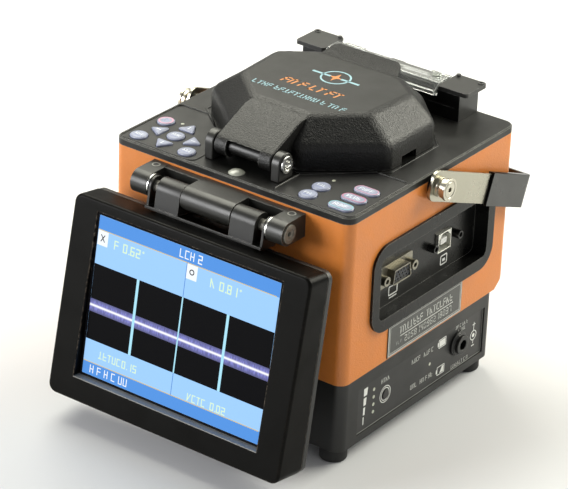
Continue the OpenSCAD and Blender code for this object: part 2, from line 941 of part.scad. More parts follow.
module hood_pin() {
    head = 4.7;
    color("#d9d9d2") at_body() difference() {
        union() {
            rod_x(-post_out - 0.6, post_out + 0.4, hood_y, hood_z, hood_pin_r);
            rod_x(post_out + 0.05, post_out + 1.2, hood_y, hood_z, head);
            rod_x(post_out, post_out + 1.8, hood_y, hood_z, 2);
        }
        difference() {
            rod_x(post_out + 0.5, post_out + 3, hood_y, hood_z, 3.1);
            rod_x(post_out, post_out + 4, hood_y, hood_z, 2);
        }
        box(post_out + 1, post_out + 3, hood_y - 3, hood_y + 3, hood_z - 0.4, hood_z + 0.4);
    }
}

// ---- Splicing stage ----

module stage_block() {
    color("#8f9396") at_body() difference() {
        union() {
            box(-38, 38, 58, 94, well_z, well_z + 7);
            box(-36, 36, 66, 88, well_z + 7 - eps, z_top + 1.2);
            for (sx = [-1, 1])
                box(sx * 25 - 9.5, sx * 25 + 9.5, 68, 81, z_top + 1.2 - eps, fiber_z - 0.4);
            for (sx = [-1, 1], s = [-1, 1])
                box(sx * 25 + s * 11 - 1.3, sx * 25 + s * 11 + 1.3, 81, 85.5,
                    z_top + 1.2 - eps, clamp_z + 1.6);
        }
        box(-11.5, 11.5, 60, 95, z_top - 5, z_top + 9);
        box(-60, 60, fiber_y - 1, fiber_y + 1, fiber_z - 1.4, fiber_z + 5);
        rod_x(-37, 37, clamp_y, clamp_z, 1.05);
        for (s = [-1, 1])
            translate([0, fiber_y, fiber_z]) rotate([s * 35, 0, 0])
                translate([0, 0, -40]) cylinder(r = 3.05, h = 33);
    }
}

// Two ceramic blocks with a V cut, either side of the arc gap
module v_grooves() {
    color("#e9e5da") at_body()
        for (sx = [-1, 1]) difference() {
            box(sx * 6.6 - 3.4, sx * 6.6 + 3.4, fiber_y - 5, fiber_y + 5, z_top - 5,
                fiber_z + 0.8);
            translate([sx * 6.6 - 5, fiber_y, fiber_z - 0.2]) rotate([45, 0, 0])
                cube([10, 4, 4]);
        }
}

module electrodes() {
    color("#c9ccd0") at_body() translate([0, fiber_y, fiber_z])
        for (a = [0, 180]) rotate([0, 0, a]) {
            rotate([-90, 0, 0]) translate([0, 0, 3]) cylinder(r1 = 0.12, r2 = 0.8, h = 3);
            rotate([-90, 0, 0]) translate([0, 0, 6 - eps]) cylinder(r = 0.8, h = 3);
            rotate([-90, 0, 0]) translate([0, 0, 9 - eps]) cylinder(r = 1.6, h = 6);
        }
}

module lenses() {
    color("#2a2f3a") at_body()
        for (s = [-1, 1])
            translate([0, fiber_y, fiber_z]) rotate([s * 35, 0, 0])
                translate([0, 0, -17]) cylinder(r = 3, h = 9);
}

// Small flap that holds the fiber down; it turns on its own pin at the back
module fiber_clamp(side) {
    reach = 11;
    color("#4a4c4e") at_body() mirror([side < 0 ? 1 : 0, 0, 0]) {
        difference() {
            union() {
                box(clamp_in, clamp_out, clamp_y - reach, clamp_y, fiber_z + 0.3,
                    fiber_z + 2.6);
                rod_x(clamp_in, clamp_out, clamp_y, clamp_z, 1.9);
                rod_x(clamp_in - 2.2, clamp_out + 2.2, clamp_y, clamp_z, 0.98);
            }
            box(clamp_in + 3, clamp_out - 3, fiber_y - 1.6, fiber_y + 1.6, fiber_z,
                fiber_z + 1);
        }
    }
}

module fiber_clamp_left() {
    fiber_clamp(-1);
}

module fiber_clamp_right() {
    fiber_clamp(1);
}

// ---- Tube heater ----

module heater_base() {
    end_top = z_top + 14.7;
    color("#262726") at_body() difference() {
        union() {
            box(-heater_half, heater_half, heater_y0, heater_y1, z_top, heater_z);
            both_sides() box(heater_end, heater_half, heater_y0, heater_y1 - 5.4,
                heater_z - eps, end_top);
            both_sides() along_x(heater_half - 2, heater_half) heater_lug();
            both_sides() along_x(lug_in, lug_in + 1.9) heater_lug();
            along_x(-4, 4) heater_lug();
        }
        box(-heater_half + 4, heater_half - 4, groove_y - groove_w / 2,
            groove_y + groove_w / 2, z_top + 5, z_top + 20);
        box(-heater_half - 1, heater_half + 1, groove_y - 1.3, groove_y + 1.3,
            z_top + 11.8, z_top + 20);
        rod_x(-heater_half - 1, heater_half + 1, heater_pin_y, heater_pin_z,
            heater_pin_r + 0.03);
        both_sides() box(heater_end - 13, heater_half - 3, heater_y0 - 1, heater_y0 + 0.5,
            z_top + 7, z_top + 7.6);
    }
}

module heater_lug() {
    translate([heater_pin_y, heater_pin_z]) circle(r = 1.9);
    translate([heater_pin_y - 1.9, heater_z - 1]) square([2.6, heater_pin_z - heater_z + 1]);
}

module heater_pin() {
    color("#bfc2c4") at_body()
        rod_x(-heater_half, heater_half, heater_pin_y, heater_pin_z, heater_pin_r);
}

module lid_hinge(x0, x1, top) {
    along_x(x0, x1) {
        translate([heater_pin_y, heater_pin_z]) circle(r = knuckle_r);
        translate([heater_pin_y - 3.6, heater_pin_z]) square([3.6, top - heater_pin_z]);
    }
}

module heater_lid() {
    top = z_top + 18;
    wall = 1.6;
    end = heater_end - 0.5;
    foot = heater_z + 0.4;
    color("#e6ecea", 0.45) at_body() difference() {
        union() {
            difference() {
                along_x(-end, end) lid_outline(0, foot, top);
                along_x(-end + wall, end - wall) lid_outline(wall, foot - 1, top - wall);
            }
            both_sides() lid_hinge(22, end - 2, heater_pin_z + 2.4);
        }
        rod_x(-heater_half, heater_half, heater_pin_y, heater_pin_z, heater_pin_r + 0.05);
    }
}

// Section of the clear lid: low in front, with its front and back edges leaning in
module lid_outline(inset, z0, z1) {
    front = 128.9 + inset;
    back = heater_pin_y - 3 - inset;
    polygon([[front, z0], [back, z0], [back, z1 - 2], [back - 2, z1], [front + 4, z1],
        [front, z1 - 3.5]]);
}

module heater_clamp(side) {
    plate_z = z_top + 15;
    plate_t = 2.3;
    front = 130;
    back = 149.6;
    outer = 55.6;
    corner = 1.8;
    boss_x = outer - 2.3;
    color("#58595a") at_body() mirror([side < 0 ? 1 : 0, 0, 0]) difference() {
        union() {
            translate([(heater_end + outer) / 2, (front + back) / 2, plate_z])
                linear_extrude(plate_t)
                    round_rect(outer - heater_end, back - front, corner);
            lid_hinge(heater_end + 2.8, heater_half - 2.5, plate_z + 1);
            box(heater_end + 3, heater_half - 4.5, groove_y - 2.4, groove_y + 2.4,
                plate_z - 4.3, plate_z + 0.1);
            translate([boss_x, back - 2.3, plate_z + 1]) cylinder(r = 1.9, h = 1.8);
            translate([heater_end + 1.9, back - 1.9, plate_z + 1]) cylinder(r = 1.3, h = 2.3);
        }
        translate([boss_x, back - 2.3, plate_z + 1.5]) cylinder(r = 0.9, h = 4);
        rod_x(20, heater_half, heater_pin_y, heater_pin_z, heater_pin_r + 0.05);
        rod_x(heater_end - 1, lug_in + 2.2, heater_pin_y, heater_pin_z, 2.25);
        rod_x(heater_half - 2.3, heater_half + 0.2, heater_pin_y, heater_pin_z, 2.25);
    }
}

module heater_clamp_left() {
    heater_clamp(-1);
}

module heater_clamp_right() {
    heater_clamp(1);
}

// ---- Carry handle ----

module at_handle() {
    at_body() translate([0, handle_y, handle_z]) rotate([-handle_droop, 0, 0]) children();
}

// U-shaped band seen from above: two arms from y0 back to a crossbar
module u_band(half, reach, thick, y0, r) {
    difference() {
        translate([0, (y0 + reach + thick) / 2])
            band_end(2 * (half + thick), reach + thick - y0, r + thick);
        translate([0, (y0 + reach) / 2 - 5])
            band_end(2 * half, reach - y0 + 10, r);
    }
}

// Rectangle whose two back corners are round
module band_end(w, d, r) {
    translate([0, -r / 2]) square([w, d - r], center = true);
    square([w - 2 * r, d], center = true);
    for (s = [-1, 1])
        translate([s * (w / 2 - r), d / 2 - r]) circle(r = r);
}

module strap_band() {
    inset = handle_reach + 0.8;
    translate([0, 0, -strap_w / 2]) linear_extrude(strap_w)
        u_band(strap_x, inset, strap_t, 0, 3);
}

module handle_strap() {
    color("#c8c7bd") at_handle() difference() {
        union() {
            strap_band();
            both_sides() along_x(strap_x, strap_x + strap_t)
                round_rect(strap_end, strap_w, strap_end_r);
        }
        both_sides() rod_x(strap_x - 1, strap_x + strap_t + 1, 0, 0, 2.55);
    }
}

module handle_grip() {
    color("#2c2e30") at_handle() difference() {
        translate([0, 0, -grip_w / 2]) linear_extrude(grip_w)
            u_band(grip_x, handle_reach, grip_t, grip_start, 2);
        strap_band();
    }
}

module handle_bolts() {
    shoulder_end = strap_x + strap_t + 5;
    head_end = shoulder_end + 1.5;
    color("#cfcfc8") at_handle() both_sides() difference() {
        union() {
            rod_x(half_w - 6, strap_x, 0, 0, handle_bolt_r);
            rod_x(strap_x - eps, shoulder_end, 0, 0, 2.5);
            rod_x(strap_x + strap_t + 0.05, shoulder_end - 3.2, 0, 0, 5.4);
            rod_x(shoulder_end - 3.3, shoulder_end, 0, 0, 4.4);
            rod_x(shoulder_end - 2.2, shoulder_end, 0, 0, 5.4);
            rod_x(shoulder_end - eps, head_end, 0, 0, 6);
        }
        difference() {
            rod_x(head_end - 0.4, head_end + 1, 0, 0, 4.7);
            rod_x(head_end - 1, head_end + 1, 0, 0, 4.1);
        }
        translate([head_end - 3, 0, 0]) rotate([0, 90, 0])
            cylinder(r = 1.5, h = 4, $fn = 6);
    }
}

module handle_washers() {
    color("#1f1f20") at_handle() both_sides() difference() {
        rod_x(half_w, strap_x - 0.05, 0, 0, 5);
        rod_x(half_w - 1, strap_x + 1, 0, 0, handle_bolt_r + 0.05);
    }
}

rubber_feet();
foot_screws();
battery_case();
battery_panel();
battery_cells();
gauge_button();
dc_jack();
body_shell();
port_frame();
vga_shell();
vga_insert();
usb_shell();
usb_insert();
port_pegs();
id_plate();
main_board();
deck();
stage_well();
keypad_films();
key_power();
key_menu();
key_enter();
key_escape();
key_left();
key_back();
key_right();
key_front();
key_zoom();
key_view();
key_heat();
key_set();
key_reset();
status_leds();
deck_lamp();
hinge_bracket();
hinge_screws();
hinge_pins();
hinge_washers();
monitor_bracket();
monitor_bezel();
monitor_cover();
lcd_panel();
hood_posts();
hood_pin();
hood();
stage_block();
v_grooves();
electrodes();
lenses();
fiber_clamp_left();
fiber_clamp_right();
heater_base();
heater_lid();
heater_clamp_left();
heater_clamp_right();
heater_pin();
handle_strap();
handle_grip();
handle_bolts();
handle_washers();
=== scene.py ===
"""Looks of the fiber fusion splicer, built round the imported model. All work is in the row frame."""

import json
import math
import random

import bmesh
import bpy
from mathutils import Matrix, Vector


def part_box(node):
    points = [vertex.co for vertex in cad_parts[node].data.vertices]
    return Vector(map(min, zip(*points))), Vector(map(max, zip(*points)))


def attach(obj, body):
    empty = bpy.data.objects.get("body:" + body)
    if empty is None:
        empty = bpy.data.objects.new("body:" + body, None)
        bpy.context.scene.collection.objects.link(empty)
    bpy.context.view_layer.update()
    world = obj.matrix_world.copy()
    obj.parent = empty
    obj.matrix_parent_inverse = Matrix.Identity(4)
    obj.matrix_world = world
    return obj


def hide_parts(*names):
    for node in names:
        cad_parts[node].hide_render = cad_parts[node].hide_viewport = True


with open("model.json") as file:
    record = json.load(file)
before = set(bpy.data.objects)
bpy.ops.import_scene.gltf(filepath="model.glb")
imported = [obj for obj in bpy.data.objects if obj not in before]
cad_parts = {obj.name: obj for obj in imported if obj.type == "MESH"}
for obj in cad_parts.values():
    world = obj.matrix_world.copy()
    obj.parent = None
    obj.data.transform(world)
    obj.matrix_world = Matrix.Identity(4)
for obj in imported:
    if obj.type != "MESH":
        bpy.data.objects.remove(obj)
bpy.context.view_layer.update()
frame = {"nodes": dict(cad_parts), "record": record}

MM = 0.001
NODES = frame["nodes"]
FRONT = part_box("body_shell")[0].y / MM
Z_DECK, Z_TOP = 138.0, 142.0
PANEL_X, BAY_X, PLATE_X = 74.0, 68.0, 75.5
VGA_Y, VGA_Z, PIN_PITCH, PIN_ROW = 51.2, 91.6, 2.519, 1.98
HINGE_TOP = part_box("hinge_bracket")[1].z / MM
KEY_TOP = 142.8
LEAN = 9.2
SCREEN_W, SCREEN_H = 115.2, 86.9


def at(x, y, z):
    """A point of the row frame from millimetres off the middle, the body's front and the floor."""
    return Vector((x, y + FRONT, z)) * MM


def rad(a):
    return math.radians(a)


# ---- Camera, floor and light ----

CAM_AZ, CAM_EL, CAM_ROLL = 35.68, 27.05, 2.244
CAM_AT = (794.78, -1057.63, 780.34)


def make_camera():
    """The camera that was solved from the sockets' real sizes and the body's straight edges."""
    a, e, r = rad(CAM_AZ), rad(CAM_EL), rad(CAM_ROLL)
    back = Vector((math.sin(a) * math.cos(e), -math.cos(a) * math.cos(e), math.sin(e)))
    right = Vector((math.cos(a), math.sin(a), 0))
    up = back.cross(right)
    right, up = right * math.cos(r) + up * math.sin(r), up * math.cos(r) - right * math.sin(r)
    data = bpy.data.cameras.new("camera")
    data.lens = 185.38
    data.sensor_width = 36
    data.clip_start, data.clip_end = 0.05, 50
    cam = bpy.data.objects.new("camera", data)
    turn = Matrix((right, up, back)).transposed().to_4x4()
    cam.matrix_world = Matrix.Translation(at(*CAM_AT)) @ turn
    bpy.context.scene.collection.objects.link(cam)
    bpy.context.scene.camera = cam


def area_light(name, spot, aim, size, watts, tint=(1, 1, 1)):
    data = bpy.data.lights.new(name, "AREA")
    data.shape = "RECTANGLE"
    data.size, data.size_y = size
    data.energy = watts
    data.color = tint
    obj = bpy.data.objects.new(name, data)
    obj.location = spot
    obj.rotation_mode = "QUATERNION"
    obj.rotation_quaternion = (Vector(aim) - Vector(spot)).to_track_quat("-Z", "Y")
    bpy.context.scene.collection.objects.link(obj)


def make_lights():
    """Warm soft lights behind and above, a white fill in front, and a dim even sky."""
    warm = (1.0, 0.985, 0.86)
    area_light("key_back_right", (0.55, 1.0, 0.86), (0.03, 0, 0.08), (1.0, 0.8), 23, warm)
    area_light("overhead", (-0.62, 0.3, 1.05), (0, 0, 0.1), (0.9, 0.75), 13, warm)
    area_light("rim_left", (-0.78, 1.05, 0.66), (0, 0, 0.12), (0.9, 0.6), 1.6, warm)
    area_light("fill_right", (1.2, -0.4, 0.5), (0, 0, 0.08), (0.8, 0.8), 1)
    area_light("fill_front", (-0.85, -1.2, 0.5), (0, 0, 0.1), (0.8, 0.7), 20)
    world = bpy.data.worlds.new("world")
    world.use_nodes = True
    sky = world.node_tree.nodes["Background"]
    sky.inputs["Color"].default_value = (1, 1, 1, 1)
    sky.inputs["Strength"].default_value = 0.2
    bpy.context.scene.world = world
    bpy.context.scene.view_settings.view_transform = "Standard"


# ---- Materials ----

class Nodes:
    """A short way to write shader nodes."""

    def __init__(self, name):
        self.mat = bpy.data.materials.new(name)
        self.mat.use_nodes = True
        self.tree = self.mat.node_tree
        self.shader = self.tree.nodes["Principled BSDF"]
        self.coords = self.add("ShaderNodeTexCoord").outputs["Object"]

    def add(self, kind, **settings):
        node = self.tree.nodes.new(kind)
        for key, value in settings.items():
            setattr(node, key, value)
        return node

    def link(self, a, b):
        self.tree.links.new(a, b)

    def mapped(self, scale):
        node = self.add("ShaderNodeMapping")
        node.inputs["Scale"].default_value = scale
        self.link(self.coords, node.inputs["Vector"])
        return node.outputs["Vector"]

    def noise(self, size_mm, detail=3.0, rough=0.5, stretch=None):
        node = self.add("ShaderNodeTexNoise")
        node.inputs["Scale"].default_value = 1 / (size_mm * MM)
        node.inputs["Detail"].default_value = detail
        node.inputs["Roughness"].default_value = rough
        self.link(self.mapped(stretch) if stretch else self.coords, node.inputs["Vector"])
        return node.outputs["Fac"]

    def cells(self, size_mm):
        node = self.add("ShaderNodeTexVoronoi", feature="SMOOTH_F1")
        node.inputs["Scale"].default_value = 1 / (size_mm * MM)
        node.inputs["Smoothness"].default_value = 0.6
        self.link(self.coords, node.inputs["Vector"])
        return node.outputs["Distance"]

    def math(self, kind, a, b=None, clamp=False):
        node = self.add("ShaderNodeMath", operation=kind, use_clamp=clamp)
        for slot, value in zip(node.inputs, (a, b)):
            if isinstance(value, (int, float)):
                slot.default_value = value
            elif value is not None:
                self.link(value, slot)
        return node.outputs[0]

    def span(self, value, lo, hi, to_lo=0.0, to_hi=1.0):
        node = self.add("ShaderNodeMapRange")
        for key, number in zip(("From Min", "From Max", "To Min", "To Max"), (lo, hi, to_lo, to_hi)):
            node.inputs[key].default_value = number
        self.link(value, node.inputs["Value"])
        return node.outputs["Result"]

    def mix(self, fac, a, b):
        node = self.add("ShaderNodeMix", data_type="RGBA")
        self.link(fac, node.inputs[0])
        for slot, value in ((node.inputs[6], a), (node.inputs[7], b)):
            if isinstance(value, tuple):
                slot.default_value = (*value, 1)
            else:
                self.link(value, slot)
        return node.outputs[2]

    def bump(self, height, strength, depth_mm, under=None):
        node = self.add("ShaderNodeBump")
        node.inputs["Strength"].default_value = strength
        node.inputs["Distance"].default_value = depth_mm * MM
        self.link(height, node.inputs["Height"])
        if under is not None:
            self.link(under, node.inputs["Normal"])
        return node.outputs["Normal"]

    def edge(self, width_mm):
        """1 along sharp edges, 0 on flat faces."""
        soft = self.add("ShaderNodeBevel", samples=4)
        soft.inputs["Radius"].default_value = width_mm * MM
        flat = self.add("ShaderNodeNewGeometry")
        dot = self.add("ShaderNodeVectorMath", operation="DOT_PRODUCT")
        self.link(soft.outputs["Normal"], dot.inputs[0])
        self.link(flat.outputs["Normal"], dot.inputs[1])
        return self.span(dot.outputs["Value"], 0.995, 0.9)


def scaled(rgb, k):
    return tuple(min(1.0, c * k) for c in rgb)


def surface(name, rgb, rough, metal=0.0, tint=0.07, tint_mm=16, smudge=0.12, grain=0.15,
            grain_mm=0.35, depth_mm=0.06, kind="noise", stretch=None, wear_and_highlight=0.0,
            wear_and_highlight_rgb=None, wear_and_highlight_mm=0.5, even_highlight=0.0, coat=0.0, coat_rough=0.08,
            specular=0.5):
    """The base of every finish: colour drift, smudged roughness, fine relief, and lightened edges
    that are partly wear and partly painted highlight.
    """
    n = Nodes(name)
    drift = n.noise(tint_mm, 4.0)
    fine = n.noise(grain_mm * 3, 2.0)
    blend = n.math("ADD", n.math("MULTIPLY", drift, 0.7), n.math("MULTIPLY", fine, 0.3))
    colour = n.mix(n.span(blend, 0.3, 0.7), scaled(rgb, 1 - tint), scaled(rgb, 1 + tint))
    if kind == "cells":
        height = n.math("ADD", n.cells(grain_mm), n.math("MULTIPLY", n.noise(grain_mm * 2.2), 0.7))
    else:
        height = n.noise(grain_mm, 3.0, 0.55, stretch)
    # Edges are lightened: on some finishes as wear, on others as a painted highlight; the even share
    # keeps that painted highlight line unbroken.
    if wear_and_highlight:
        patch = n.span(n.noise(2.6, 5.0, 0.65), 0.42, 0.62, even_highlight, 1)
        mask = n.math("MULTIPLY", n.math("MULTIPLY", n.edge(wear_and_highlight_mm), patch), wear_and_highlight, clamp=True)
        colour = n.mix(mask, colour, wear_and_highlight_rgb or scaled(rgb, 3.2))
    n.link(colour, n.shader.inputs["Base Color"])
    n.link(n.span(drift, 0.3, 0.7, max(0.02, rough - smudge / 2), min(1, rough + smudge / 2)),
           n.shader.inputs["Roughness"])
    n.link(n.bump(height, grain, depth_mm), n.shader.inputs["Normal"])
    n.shader.inputs["Metallic"].default_value = metal
    n.shader.inputs["Coat Weight"].default_value = coat
    n.shader.inputs["Coat Roughness"].default_value = coat_rough
    n.shader.inputs["Specular IOR Level"].default_value = specular
    return n.mat


def lit(name, rgb, strength=1.0, stripe_mm=0.35, stripe=0.05):
    """A patch of the display: emission with a faint pixel pattern under a glossy cover."""
    n = Nodes(name)
    rows = n.noise(stripe_mm, 1.0, 0.5, (1, 1, 2.5))
    colour = n.mix(rows, scaled(rgb, 1 - stripe), scaled(rgb, 1 + stripe))
    n.link(n.mix(rows, scaled(rgb, 0.06), scaled(rgb, 0.08)), n.shader.inputs["Base Color"])
    n.link(colour, n.shader.inputs["Emission Color"])
    n.shader.inputs["Emission Strength"].default_value = strength
    n.shader.inputs["Roughness"].default_value = 0.22
    n.shader.inputs["Specular IOR Level"].default_value = 0.04
    return n.mat


def fiber_light(name, z_mid_mm, half_mm):
    """The bright fibre on the display: lilac with fine lines and a white core, across local Z."""
    n = Nodes(name)
    split = n.add("ShaderNodeSeparateXYZ")
    n.link(n.coords, split.inputs[0])
    off = n.math("ABSOLUTE", n.math("SUBTRACT", split.outputs["Z"], z_mid_mm * MM))
    core = n.math("POWER", n.span(off, 1.3 * MM, 0.25 * MM), 2.0)
    edge = n.span(off, half_mm * MM, half_mm * 0.45 * MM)
    streaks = n.noise(1.1, 2.0, 0.6, (1.6, 1, 0.25))
    body = n.mix(edge, (0.035, 0.04, 0.14), (0.17, 0.18, 0.58))
    body = n.mix(n.span(streaks, 0.42, 0.6, 0, 0.8), body, (0.05, 0.055, 0.22))
    n.link(n.mix(core, body, (0.95, 0.95, 1.0)), n.shader.inputs["Emission Color"])
    n.shader.inputs["Base Color"].default_value = (0.02, 0.02, 0.03, 1)
    n.shader.inputs["Emission Strength"].default_value = 1.0
    n.shader.inputs["Roughness"].default_value = 0.22
    return n.mat


def clear(name, rgb, rough=0.06):
    n = Nodes(name)
    haze = n.noise(4.0, 3.0)
    n.link(n.mix(haze, scaled(rgb, 0.96), rgb), n.shader.inputs["Base Color"])
    n.link(n.span(haze, 0.3, 0.7, rough * 0.6, rough * 1.5), n.shader.inputs["Roughness"])
    n.link(n.bump(n.noise(3.0), 0.05, 0.1), n.shader.inputs["Normal"])
    # Less clear towards the edges, so they show whiter: a painted highlight along the lid's edges.
    n.link(n.span(n.edge(0.6), 0, 1, 0.92, 0.35), n.shader.inputs["Transmission Weight"])
    n.shader.inputs["IOR"].default_value = 1.45
    return n.mat


